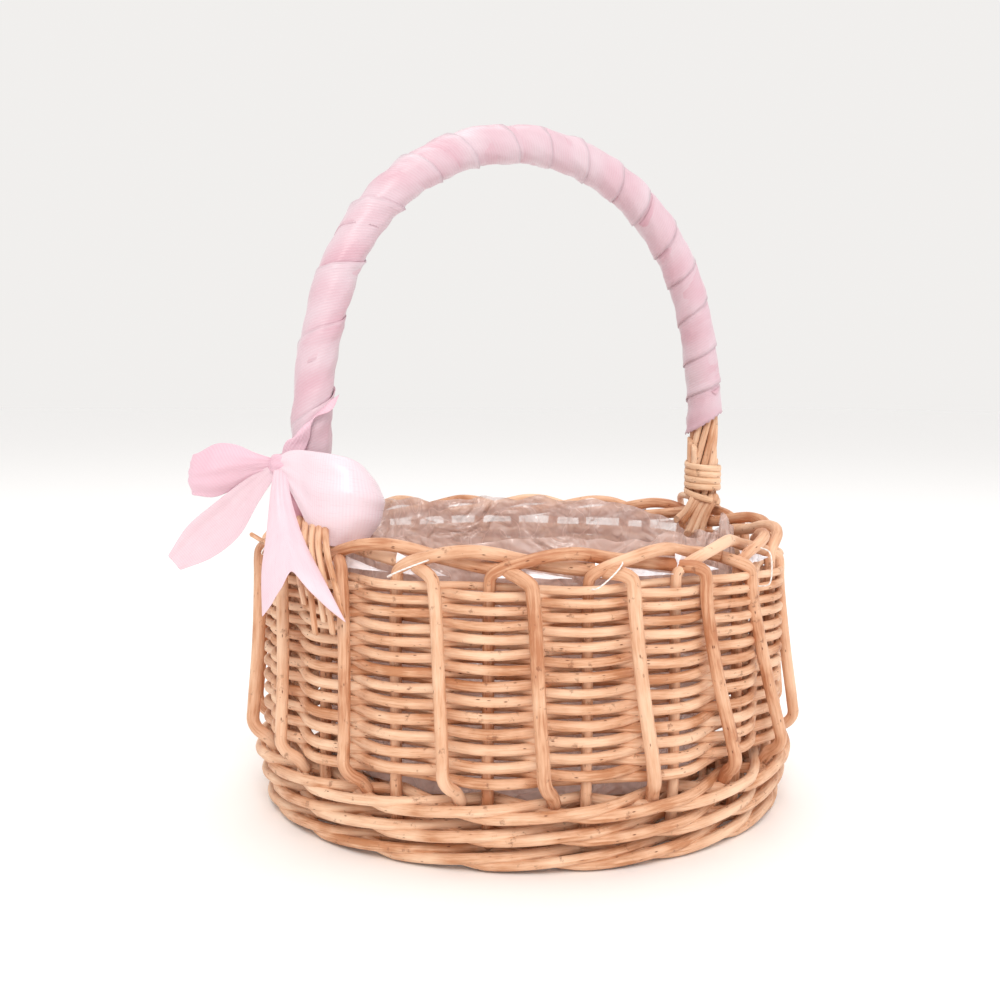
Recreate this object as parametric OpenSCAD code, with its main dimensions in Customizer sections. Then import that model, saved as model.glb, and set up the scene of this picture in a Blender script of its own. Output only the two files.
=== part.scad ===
// Round willow Easter basket: waled foot, randed side, rolled border, hoop handle wrapped with
// ribbon, tied bow and a clear sewn-in liner.
// Millimetres. Origin at the centre of the base on the floor, +Z up. The handle stands in the
// XZ plane and the bow is tied to its -X foot.

/* [Side] */
// Radius of the ring on which the side stakes stand at the foot
wall_r = 84; // [82:0.5:88]
// Thickness of a side stake
stake_d = 4.2; // [3.6:0.1:4.2]
// Thickness of a side weaver
weaver_d = 2.1; // [1.6:0.1:2.1]
// Height that one turn of weaving adds
weave_pitch = 2.2; // [2.2:0.05:2.3]
// Turn of the whole stake ring about the upright axis
stake_phase = 5; // [3:1:7]

/* [Border] */
// Height of the rolled border's upper arcs above the floor
border_z = 90.6; // [90:0.2:94]
// Radius of the outer ribs at their lower bend
rib_bend_r = 92.5; // [91:0.5:94]
// Height of the ribs' lower bend
rib_bend_z = 25.6; // [25:0.2:27]

/* [Foot] */
// Thickness of a foot and wale rod
wale_d = 3.8; // [3.2:0.1:3.8]
// Radius of the lowest foot round
foot_r = 84.5; // [84:0.1:84.8]

/* [Base] */
// Thickness of a base stick
stick_d = 4; // [3:0.2:4]
// Thickness of a base weaver
base_weaver_d = 3.2; // [2.4:0.2:3.2]
// Height of the middle plane of the base weave
base_z = 6; // [6:0.1:6.2]

/* [Handle] */
// Half of the handle's span at its centre line
handle_span = 77; // [76:0.5:78]
// Height of the handle's centre line at the top
handle_top = 216; // [205:1:230]
// Height at which the straight legs end
leg_top = 121; // [118:1:124]
// Radius of the long side curves
side_curve_r = 144; // [140:1:150]
// Thickness of the hoop rod
hoop_d = 4.2; // [3.4:0.2:4.2]
// Thickness of the thin rods twisted round the hoop
twist_d = 2.4; // [1.8:0.2:2.4]
// Whole turns that the thin rods make along the handle
twist_turns = 3; // [3]

/* [Ribbon] */
// Width of the satin ribbon
ribbon_w = 25; // [20:1:25]
// Thickness given to the ribbon as a solid
ribbon_t = 0.8; // [0.6:0.1:1]
// Height at which the wrapping starts above the left foot
wrap_left_z = 104; // [104:1:106]
// Height at which the wrapping ends above the right foot
wrap_right_z = 127; // [116:1:128]

/* [Liner] */
// Outer radius of the liner film at its rim
liner_r = 71.5; // [68:0.5:71.5]
// Thickness given to the liner film as a solid
liner_t = 0.8; // [0.6:0.1:1]

/* [Hidden] */
STAKES = 19;
WEAVERS = 13;
FOOT_ROUNDS = 3;
WALE_ROUNDS = 3;
FINE = 48;

function two_digits(n) = str(n < 10 ? "0" : "", n);

WILLOW = "#dfae83";
WILLOW_DARK = "#cf9a6c";
WILLOW_PALE = "#ecc6a0";
PINK = "#f6c6d2";
PINK_DEEP = "#f0aebf";
FILM = [0.95, 0.9, 0.92, 0.35];
WHITE = "#f7f5f2";

stake_r = stake_d / 2;
weaver_r = weaver_d / 2;
wale_r = wale_d / 2;
stick_r = stick_d / 2;
base_weaver_r = base_weaver_d / 2;
hoop_r = hoop_d / 2;
twist_r = twist_d / 2;
bay = 360 / STAKES;

// Side: the stakes lean in a little, so the rim ring is smaller than the foot ring
rim_r = wall_r - 0.5;
inner_r = rim_r - 4.5;
rib_r = wall_r + 5.3;
// Clearance that lets a bent rod pass a stake
weave_out = stake_r + weaver_r + 0.35;
weave_in = stake_r + weaver_r + 0.15;
wale_out = stake_r + wale_r + 0.5;
wale_in = stake_r + wale_r + 0.15;

// Foot and wale
foot_z = 1.7;
round_rise = 3.8;
wale_z = foot_z + FOOT_ROUNDS * round_rise + 0.2;
weave_z = wale_z + (WALE_ROUNDS - 1) * round_rise + wale_r + weaver_r + 0.35;
TURNS_PER_WEAVER = 2;

// Base
slath_half = 9;
base_r = 76;
base_ring_first = 28;
base_ring_pitch = 4;
SPOKES = 12;

// Handle
handle_low = 97;
arch_rise = handle_top - leg_top;
top_curve_r = (pow(arch_rise, 2) - pow(side_curve_r, 2) + pow(handle_span - side_curve_r, 2))
    / (2 * (arch_rise - side_curve_r));
side_c = [handle_span - side_curve_r, leg_top];
top_c = [0, handle_top - top_curve_r];
side_sweep = atan2(top_c[1] - side_c[1], top_c[0] - side_c[0]);
leg_len = leg_top - handle_low;
side_len = side_curve_r * side_sweep * PI / 180;
top_len = top_curve_r * (180 - 2 * side_sweep) * PI / 180;
handle_len = 2 * leg_len + 2 * side_len + top_len;
twist_at = hoop_r + twist_r + 0.6;
TWIST_RODS = 6;
HANDLE_STEPS = 36;
STEPS_PER_TURN = 8;
wrap_in = twist_at + twist_r + 0.35;
wrap_out = wrap_in + ribbon_t;
leg_inside_r = 74.3;

// Bow, tied in front of the left leg
knot = [-90.3, -2.2, 112];

function polar(a, r, z) = [r * cos(a), r * sin(a), z];
function stake_angle(j) = stake_phase + j * bay;

// ---------------------------------------------------------------- rods

function unit(v) = v / norm(v);

// Direction of each straight of a path
function headings(p) = [for (k = [0 : len(p) - 2]) unit(p[k + 1] - p[k])];

// A direction square to the first heading
function square_to(d) = unit(cross(d, abs(d[2]) < 0.9 ? [0, 0, 1] : [1, 0, 0]));

// Carries that direction along the path by mirroring it in each bend's mitre plane
function carried(h, n, k = 0) = k == len(h) - 1 ? [n]
    : let (t = unit(h[k] + h[k + 1])) concat([n], carried(h, n - 2 * (n * t) * t, k + 1));

// The mitred section of a rod at point k of its path
function section(p, h, n, k, r, sides) =
    let (s = min(k, len(h) - 1), d = h[s], u = n[s], v = cross(d, u),
         t = (k == 0 || k == len(p) - 1) ? d : unit(h[k - 1] + h[k]))
    [for (i = [0 : sides - 1])
        let (w = r * (cos(360 * i / sides) * u + sin(360 * i / sides) * v))
            p[k] + w - d * (w * t) / (d * t)];

// Wall between neighbouring sections that start at point number `start`
function wall_faces(count, sides, start, inward) = [
    for (k = [0 : count - 2], i = [0 : sides - 1])
        let (a = start + k * sides, b = a + sides, j = (i + 1) % sides)
            inward ? [a + i, a + j, b + j, b + i] : [a + i, b + i, b + j, a + j]
];

function disc_face(start, sides, reversed) = [[
    for (i = [0 : sides - 1]) start + (reversed ? sides - 1 - i : i)
]];

function rim_faces(outer, inner, sides, reversed) = [
    for (i = [0 : sides - 1])
        let (j = (i + 1) % sides)
            reversed ? [outer + j, outer + i, inner + i, inner + j]
                : [outer + i, outer + j, inner + j, inner + i]
];

// A rod, or with a bore a sleeve, along a path of points
module rod(path, r, sides = 6, bore = 0) {
    h = headings(path);
    n = carried(h, square_to(h[0]));
    count = len(path);
    last = (count - 1) * sides;
    hollow = count * sides;
    skin = [for (k = [0 : count - 1]) each section(path, h, n, k, r, sides)];
    if (bore == 0)
        polyhedron(skin, concat(
            wall_faces(count, sides, 0, false),
            disc_face(0, sides, false),
            disc_face(last, sides, true)
        ));
    else
        polyhedron(
            concat(skin, [for (k = [0 : count - 1]) each section(path, h, n, k, bore, sides)]),
            concat(
                wall_faces(count, sides, 0, false),
                wall_faces(count, sides, hollow, true),
                rim_faces(0, hollow, sides, false),
                rim_faces(last, hollow + last, sides, true)
            )
        );
}

// A path whose last straight is cut back, so that a rod's tip clears the one that follows
function tip_cut(p, share = 0.1) =
    let (last = len(p) - 1)
    [for (k = [0 : last]) k < last ? p[k] : p[k] + share * (p[k - 1] - p[k])];

module ring(ring_r, tube_r, z) {
    translate([0, 0, z])
        rotate_extrude($fn = 4 * FINE)
            translate([ring_r, 0])
                circle(r = tube_r, $fn = FINE);
}

// ---------------------------------------------------------------- base

// A base stick: flat through the slath, then lifted to the weave's middle plane and fanned out
function stick_path(k, slath_z) = [
    polar(180 - 30 * k, base_r - 1, base_z),
    polar(180 - 30 * k, slath_half + 8, base_z),
    [-slath_half, k * (stick_d + 0.1), slath_z],
    [slath_half, k * (stick_d + 0.1), slath_z],
    polar(30 * k, slath_half + 8, base_z),
    polar(30 * k, base_r - 1, base_z)
];

module base_sticks() {
    lower_z = base_z - stick_r - 0.03;
    upper_z = base_z + stick_r + 0.03;
    color(WILLOW_DARK)
        for (k = [-1 : 1]) {
            rod(stick_path(k, lower_z), stick_r);
            rotate([0, 0, 90]) rod(stick_path(k, upper_z), stick_r);
        }
}

// One round of base weaving, over and under the fanned sticks
function base_round(r, parity) = [
    for (i = [0 : SPOKES])
        polar(i * 360 / SPOKES, r,
              base_z + ((i + parity) % 2 == 0 ? 1 : -1) * (stick_r + base_weaver_r + 0.5))
];

module base_weave() {
    rounds = floor((base_r - base_ring_first) / base_ring_pitch);
    color(WILLOW_PALE)
        for (k = [0 : rounds])
            rod(tip_cut(base_round(base_ring_first + k * base_ring_pitch, k % 2)), base_weaver_r);
}

// ---------------------------------------------------------------- foot and wale

// A foot round outside the stakes' bend. The lowest is pared flat where it stands.
module foot_round(i) {
    r = foot_r + [0, 1.1, 2.9][i];
    color(WILLOW)
        difference() {
            ring(r, wale_r, foot_z + i * round_rise);
            translate([-2 * wall_r, -2 * wall_r, -10]) cube([4 * wall_r, 4 * wall_r, 10]);
        }
}

// A wale round: in front of two stakes, behind one
function wale_path(i) = [
    for (j = [0 : STAKES])
        let (behind = (j % STAKES + i) % 3 == 0)
            polar(stake_angle(j), wall_r + (behind ? -wale_in : wale_out),
                  wale_z + i * round_rise)
];

module wale_round(i) {
    color(WILLOW) rod(tip_cut(wale_path(i)), wale_r);
}

// ---------------------------------------------------------------- side

// Route of a stake as [bays to the right, radius, height]: up the side, over as an upper arc,
// behind two neighbours, out under the border and down outside as a rib
stake_route = [
    [0, base_r + 1.9, 5.5],
    [0, wall_r - 0.8, 9.2],
    [0, wall_r, 14],
    [0, rim_r, border_z - 4.6],
    [0.13, rim_r, border_z - 1.2],
    [0.5, rim_r + 0.2, border_z],
    [0.8, rim_r - 1.5, border_z - 0.2],
    [1, inner_r, border_z - 1],
    [1.5, inner_r + 0.6, border_z - 3.8],
    [2.05, inner_r, border_z - 6],
    [2.3, rim_r, border_z - 6.4],
    [2.42, rib_r - 0.5, border_z - 8.5],
    [2.47, rib_r, border_z - 14],
    [2.6, rib_bend_r, rib_bend_z + 3.1],
    [2.61, rib_bend_r - 1.3, rib_bend_z],
    [2.62, wall_r + 3.9, rib_bend_z - 0.4]
];

module stake(j) {
    color(WILLOW)
        rod([for (s = stake_route) polar(stake_angle(j + s[0]), s[1], s[2])], stake_r);
}

// A side weaver goes in front of one stake and behind the next. The stake count is odd, so it
// swaps sides each turn while it climbs by one pitch.
function weaver_path(w) = [
    for (k = [0 : TURNS_PER_WEAVER * STAKES])
        let (j = w * TURNS_PER_WEAVER * STAKES + k)
            polar(stake_angle(k), wall_r - 0.3 + (j % 2 == 0 ? weave_out : -weave_in),
                  weave_z + j * weave_pitch / STAKES)
];

module side_weaver(w) {
    color(w % 2 == 0 ? WILLOW_PALE : WILLOW) rod(tip_cut(weaver_path(w)), weaver_r);
}

// ---------------------------------------------------------------- liner

module liner() {
    floor_z = base_z + stick_r + base_weaver_d + 0.9;
    rim_z = border_z + 2.9;
    foot = liner_r - 2;
    color(FILM)
        rotate_extrude($fn = 4 * FINE)
            polygon([
                [0, floor_z], [foot, floor_z], [liner_r, rim_z],
                [liner_r - liner_t, rim_z], [foot - liner_t, floor_z + liner_t],
                [0, floor_z + liner_t]
            ]);
}

// A stitch: a loop of thread round an upper arc and a tie to the liner
module stitch(j) {
    thread_r = 0.3;
    loop_r = stake_r + thread_r + 0.15;
    a = stake_angle(j + 0.5);
    rotate([0, 0, a]) {
        translate([rim_r + 0.2, 0, border_z])
            rotate([90, 0, 0]) ring(loop_r, thread_r, 0);
        translate([liner_r + 0.1, 0, border_z])
            rotate([0, 90, 0]) cylinder(h = rim_r - loop_r - liner_r, r = thread_r, $fn = FINE);
    }
}

module liner_thread() {
    color(WHITE) for (j = [1 : 3 : STAKES - 2]) stitch(j);
}

// ---------------------------------------------------------------- handle

// Point of the handle's centre line at length s from the left foot
function handle_at(s) =
    s > handle_len / 2 ? let (p = handle_at(handle_len - s)) [-p[0], 0, p[2]]
    : s < leg_len ? [-handle_span, 0, handle_low + s]
    : s < leg_len + side_len
        ? let (a = (s - leg_len) / side_curve_r * 180 / PI)
            [-side_c[0] - side_curve_r * cos(a), 0, side_c[1] + side_curve_r * sin(a)]
    : let (a = side_sweep + (s - leg_len - side_len) / top_curve_r * 180 / PI)
        [-top_curve_r * cos(a), 0, top_c[1] + top_curve_r * sin(a)];

// Direction that points out of the arch at length s
function handle_out(s) =
    s > handle_len / 2 ? let (p = handle_out(handle_len - s)) [-p[0], 0, p[2]]
    : s < leg_len ? [-1, 0, 0]
    : let (a = s < leg_len + side_len ? (s - leg_len) / side_curve_r * 180 / PI
        : side_sweep + (s - leg_len - side_len) / top_curve_r * 180 / PI)
        [-cos(a), 0, sin(a)];

// Centre line between two lengths, in even steps
function handle_run(from, to, steps) =
    [for (k = [0 : steps]) handle_at(from + (to - from) * k / steps)];

// The hoop's feet step inside the border and run down between the weave and the liner
function hoop_foot(side) = [
    [side * (leg_inside_r + 0.9), 0, 56],
    [side * leg_inside_r, 0, border_z - 8],
    [side * leg_inside_r, 0, border_z]
];

function turned_round(p) = [for (k = [1 : len(p)]) p[len(p) - k]];

module handle_hoop() {
    color(WILLOW_DARK)
        rod(concat(hoop_foot(-1), handle_run(0, handle_len, HANDLE_STEPS),
                   turned_round(hoop_foot(1))), hoop_r, 10);
}

function twist_point(s, a) = handle_at(s)
    + twist_at * (cos(a) * handle_out(s) + sin(a) * [0, 1, 0]);

// A thin rod's foot, for the left leg. Rods on the outer half cross the border and run down
// outside the ribs, the others go down inside beside the hoop.
function twist_foot(a) = cos(a) > -0.1
    ? let (order = sin(a) + (abs(sin(a)) > 0.9 ? 0.2 * sin(a) : -0.1 * sin(a)),
           t = 180 - 3.6 * order)
        [polar(t + 7, 94.4, 62), polar(t + 3, 94.4, 76), polar(t, 93.6, 88),
         polar(t, rim_r + 0.5, border_z + 5.4)]
    : let (side = sin(a) > 0 ? 1 : -1)
        [[-75.1, 5.4 * side, 70], [-75.1, 4.6 * side, 86], [-72.6, 4.3 * side, 94]];

module twist_rod(a) {
    steps = twist_turns * STEPS_PER_TURN;
    along = [for (k = [0 : steps])
        twist_point(handle_len * k / steps, a + 360 * twist_turns * k / steps)];
    foot = twist_foot(a);
    other_foot = [for (p = turned_round(foot)) [-p[0], p[1], p[2]]];
    rod(concat(foot, along, other_foot), twist_r);
}

module handle_rods() {
    color(WILLOW) for (k = [0 : TWIST_RODS - 1]) twist_rod(30 + k * 360 / TWIST_RODS);
}

// Split-willow binding: close turns round the rods just above the border
module binding(x, z, turns) {
    turn_r = 1.1;
    for (k = [0 : turns - 1])
        translate([x, 0, 0])
            ring(twist_at + twist_r + turn_r + 0.25, turn_r, z + k * (2 * turn_r - 0.2));
}

module binding_left() {
    color(WILLOW_PALE) binding(-handle_span, 99.2, 2);
}

module binding_right() {
    color(WILLOW_PALE) binding(handle_span, 99.2, 5);
}

module ribbon_wrap() {
    color(PINK)
        rod(handle_run(wrap_left_z - handle_low, handle_len - (wrap_right_z - handle_low),
                       HANDLE_STEPS), wrap_out, 12, wrap_in);
}

// ---------------------------------------------------------------- bow

// Closed teardrop with its point at the origin, opening along +X
function teardrop(length, depth) = [
    for (t = [0 : 15 : 345])
        [length * (1 - cos(t)) / 2, depth / 2 * sin(t) * pow(sin(t / 2), 0.6) * 1.25]
];

// A flattened loop of ribbon that leaves the knot along +X
module ribbon_loop(length, depth, band) {
    translate([0, 0, -band / 2])
        linear_extrude(height = band)
            difference() {
                polygon(teardrop(length, depth));
                translate([2 * ribbon_t, 0])
                    polygon(teardrop(length - 3 * ribbon_t, depth - 2 * ribbon_t));
            }
}

// A flat tail that leaves the knot along +X: outline points as [along, across]
module ribbon_tail(outline) {
    translate([0, 0, -ribbon_t / 2]) linear_extrude(height = ribbon_t) polygon(outline);
}

module bow_knot() {
    knot_r = 5;
    band_h = 9;
    color(PINK_DEEP) {
        // The ribbon's turn round the leg
        translate([-handle_span, 0, knot[2] - band_h / 2])
            difference() {
                cylinder(h = band_h, r = wrap_out + 1.2, $fn = FINE);
                translate([0, 0, -1]) cylinder(h = band_h + 2, r = wrap_out + 0.2, $fn = FINE);
            }
        // The pulled-tight knot that stands on it
        translate(knot)
            rotate([0, 90, 10])
                translate([0, 0, -knot_r]) cylinder(h = 2 * knot_r + 1.4, r = knot_r, $fn = 10);
    }
}

module bow_loop_left() {
    color(PINK)
        translate(knot) rotate([0, 10, 141]) translate([5.2, 0, 0]) ribbon_loop(24, 7, 17);
}

module bow_loop_right() {
    color(PINK)
        translate(knot)
            rotate([0, 15, -58]) translate([5.2, 0, 0]) ribbon_loop(34, 10, ribbon_w);
}

module bow_tail_left() {
    half = ribbon_w / 2 - 1;
    color(PINK)
        translate(knot)
            rotate([20, 43, 139])
                translate([5.2, 0, 0])
                    ribbon_tail([
                        [0, -3], [14, -half + 2], [28, -half], [38, -half + 2], [48, 3],
                        [46, 6], [30, half - 1], [16, half - 2], [0, 3]
                    ]);
}

module bow_tail_front() {
    half = ribbon_w / 2;
    color(PINK)
        translate(knot + [-0.5, -2, -3])
            rotate([0, 52, -107])
                translate([5.2, 0, 0])
                    ribbon_tail([
                        [0, -3.5], [14, -half + 5], [30, -half + 2], [47, -half - 1],
                        [31, 0], [46, half + 1], [30, half - 2], [14, half - 5], [0, 3.5]
                    ]);
}

// ---------------------------------------------------------------- nodes

base_sticks();
base_weave();
for (i = [1 : FOOT_ROUNDS])
    foot_round(i - 1);
for (i = [1 : WALE_ROUNDS])
    wale_round(i - 1);
for (i = [1 : STAKES])
    stake(i - 1);
for (i = [1 : WEAVERS])
    side_weaver(i - 1);
liner();
liner_thread();
handle_hoop();
handle_rods();
binding_left();
binding_right();
ribbon_wrap();
bow_knot();
bow_loop_left();
bow_loop_right();
bow_tail_left();
bow_tail_front();
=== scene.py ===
"""Easter basket of buff willow: stake-and-strand side, three-rod wale, rolled border, twisted hoop
handle wound with satin ribbon, a ribbon bow and a crumpled film liner."""

import logging
import math
from collections.abc import Callable, Iterable, Sequence
from dataclasses import dataclass, field
from enum import Enum
from functools import partial
from typing import Any

import bpy
import numpy as np
from mathutils import Matrix, Vector, noise


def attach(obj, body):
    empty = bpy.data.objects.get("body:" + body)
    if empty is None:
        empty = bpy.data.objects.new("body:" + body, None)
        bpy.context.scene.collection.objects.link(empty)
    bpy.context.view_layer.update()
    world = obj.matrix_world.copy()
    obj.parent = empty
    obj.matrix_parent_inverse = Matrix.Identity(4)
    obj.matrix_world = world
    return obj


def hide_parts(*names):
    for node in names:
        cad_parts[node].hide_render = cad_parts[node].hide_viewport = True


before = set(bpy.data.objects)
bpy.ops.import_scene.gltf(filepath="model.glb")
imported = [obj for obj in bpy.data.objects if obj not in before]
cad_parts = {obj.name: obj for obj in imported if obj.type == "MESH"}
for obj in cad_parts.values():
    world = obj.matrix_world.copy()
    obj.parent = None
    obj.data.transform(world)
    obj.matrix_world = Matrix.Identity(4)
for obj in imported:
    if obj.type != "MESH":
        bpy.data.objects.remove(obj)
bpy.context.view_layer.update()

LOG = logging.getLogger("easter_basket")
MM = 0.001
STAKES = 19
BAY = 360.0 / STAKES
FIRST_STAKE = 5.0
WAVE_PERIOD = 0.314  # metres from band to band of a wave texture of scale 1
TO_THE_RIGHT = (0.857, -0.515, 0.0)  # as seen from the side that the bow faces
TO_THE_FRONT = (-0.515, -0.857, 0.0)
Points = np.ndarray


class Ends(Enum):
    """How a rod is finished at its two ends."""

    ROUNDED = "worn round"
    CUT = "cut on the slant"


# ---------------------------------------------------------------- paths


def polar(angle: float, radius: float, height: float) -> list[float]:
    """A point in millimetres from its angle in degrees, its radius and its height."""
    turn = math.radians(angle)
    return [radius * math.cos(turn), radius * math.sin(turn), height]


def stake_angle(bay: float) -> float:
    """Angle in degrees of a stake, or of a place between two stakes."""
    return FIRST_STAKE + bay * BAY


def ease(x: float) -> float:
    """Smooth step from 0 to 1."""
    x = min(max(x, 0.0), 1.0)
    return x * x * (3.0 - 2.0 * x)


def cubic(t: Points, gap: float, ends: tuple[Points, Points], slopes: tuple[Points, Points]) -> Points:
    """A cubic curve between two rows, from their slopes.

    Args:
        t: how far along, from 0 to 1.
        gap: the distance between the two rows, in the slopes' unit.
        ends: the rows.
        slopes: the slope at each row.

    Returns:
        A row for each value of t.
    """
    return (
        (2 * t**3 - 3 * t**2 + 1) * ends[0]
        + (t**3 - 2 * t**2 + t) * gap * slopes[0]
        + (3 * t**2 - 2 * t**3) * ends[1]
        + (t**3 - t**2) * gap * slopes[1]
    )


def smooth_rows(rows: Sequence[Sequence[float]], count: int) -> Points:
    """A few rows of three numbers smoothed out to count rows.

    Args:
        rows: the rows.
        count: how many rows to make.

    Returns:
        The rows, evenly spaced between the given ones.
    """
    rows = np.asarray(rows, float)
    x = np.linspace(0, len(rows) - 1, count)
    k = np.minimum(x.astype(int), len(rows) - 2)
    slopes = np.gradient(rows, axis=0)
    return cubic((x - k)[:, None], 1.0, (rows[k], rows[k + 1]), (slopes[k], slopes[k + 1]))


def smooth_path(points: Iterable[Sequence[float]], step: float) -> Points:
    """A smooth curve through points.

    Args:
        points: the points, in millimetres.
        step: the distance between samples, in millimetres.

    Returns:
        The samples, one row each.
    """
    p = np.asarray(list(points), float)
    gaps = np.linalg.norm(np.diff(p, axis=0), axis=1)
    knots = np.r_[0.0, np.cumsum(np.maximum(gaps, 1e-6) ** 0.5)]
    slopes = np.gradient(p, knots, axis=0)
    parts = []
    for k, gap in enumerate(gaps):
        count = max(2, math.ceil(gap / step))
        t = (np.arange(count) / count)[:, None]
        parts.append(cubic(t, knots[k + 1] - knots[k], (p[k], p[k + 1]), (slopes[k], slopes[k + 1])))
    return np.concatenate([*parts, p[-1:]])


def resample(path: Points, count: int) -> Points:
    """The path as count points, evenly spaced along it.

    Args:
        path: the points, one row each.
        count: how many points to make.

    Returns:
        The points.
    """
    gaps = np.linalg.norm(np.diff(path, axis=0), axis=1)
    along = np.r_[0.0, np.cumsum(gaps)]
    even = np.linspace(0.0, along[-1], count)
    return np.stack([np.interp(even, along, path[:, k]) for k in range(3)], axis=1)


def unit(v: Points) -> Points:
    """Each row at length one."""
    return v / np.maximum(np.linalg.norm(v, axis=-1, keepdims=True), 1e-12)


def headings(path: Points) -> Points:
    """Direction of the path at each of its points."""
    return unit(np.gradient(path, axis=0))


def carried_normals(tangents: Points) -> Points:
    """A normal for each point of a path that turns as little as it can.

    Args:
        tangents: the path's direction at each point.

    Returns:
        The normals, one row each.
    """
    first = tangents[0]
    n = unit(np.cross(first, [0.0, 0.0, 1.0] if abs(first[2]) < 0.9 else [1.0, 0.0, 0.0]))
    rows = [n]
    for t in tangents[1:]:
        n = unit(n - t * float(n @ t))
        rows.append(n)
    return np.array(rows)


def wander(count: int, size: float, seed: float, pace: float) -> Points:
    """Smooth wandering numbers, for a rod that isn't quite straight or even.

    Args:
        count: how many numbers.
        size: about how far they go from nought.
        seed: a different number gives a different walk.
        pace: how fast they change from one to the next.

    Returns:
        The numbers.
    """
    return np.array([size * noise.noise((k * pace, seed * 7.31, 4.7)) for k in range(count)])


# ---------------------------------------------------------------- meshes


def mesh_object(name: str, verts: Points, faces: list, uvs: Points, tone: Points) -> bpy.types.Object:
    """Makes an object in metres from a mesh in millimetres.

    Args:
        name: the piece's name.
        verts: one row per point.
        faces: the faces' point numbers.
        uvs: one row per face corner, in metres along and across the piece.
        tone: a number from 0 to 1 per point, which the finishes read.

    Returns:
        The object, linked and smooth.
    """
    mesh = bpy.data.meshes.new(name)
    mesh.from_pydata((np.asarray(verts) * MM).tolist(), [], faces)
    layer = mesh.uv_layers.new(name="UVMap")
    layer.data.foreach_set("uv", np.asarray(uvs, np.float32).ravel())
    shade = mesh.attributes.new("tone", "FLOAT", "POINT")
    shade.data.foreach_set("value", np.asarray(tone, np.float32))
    mesh.shade_smooth()
    mesh.update()
    piece = bpy.data.objects.new(name, mesh)
    bpy.context.scene.collection.objects.link(piece)
    return piece


def select_only(piece: bpy.types.Object) -> None:
    """Deselects everything, then selects one piece and makes it active.

    Args:
        piece: the piece.
    """
    bpy.ops.object.select_all(action="DESELECT")
    piece.select_set(True)
    bpy.context.view_layer.objects.active = piece


def apply_modifier(piece: bpy.types.Object, kind: str, settings: dict[str, Any]) -> None:
    """Adds a modifier with its settings and applies it.

    Args:
        piece: the piece to change.
        kind: the modifier's type.
        settings: the modifier's own values.
    """
    select_only(piece)
    modifier = piece.modifiers.new(kind.title(), kind)
    for key, value in settings.items():
        setattr(modifier, key, value)
    bpy.ops.object.modifier_apply(modifier=modifier.name)


def thicken(piece: bpy.types.Object, thickness: float) -> None:
    """Gives a sheet its thickness in millimetres, half to each side, with its edges closed."""
    apply_modifier(piece, "SOLIDIFY", {"thickness": thickness * MM, "offset": 0.0, "use_rim": True})


# Rings of a rounded end: how far past the path's end and how large, in radii
ROUNDED_RINGS = ((0.3, 0.87), (0.62, 0.5))
CUT_SIZE = 0.93
CUT_SLANT = 0.9
POLE_RISE = 0.12


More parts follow.
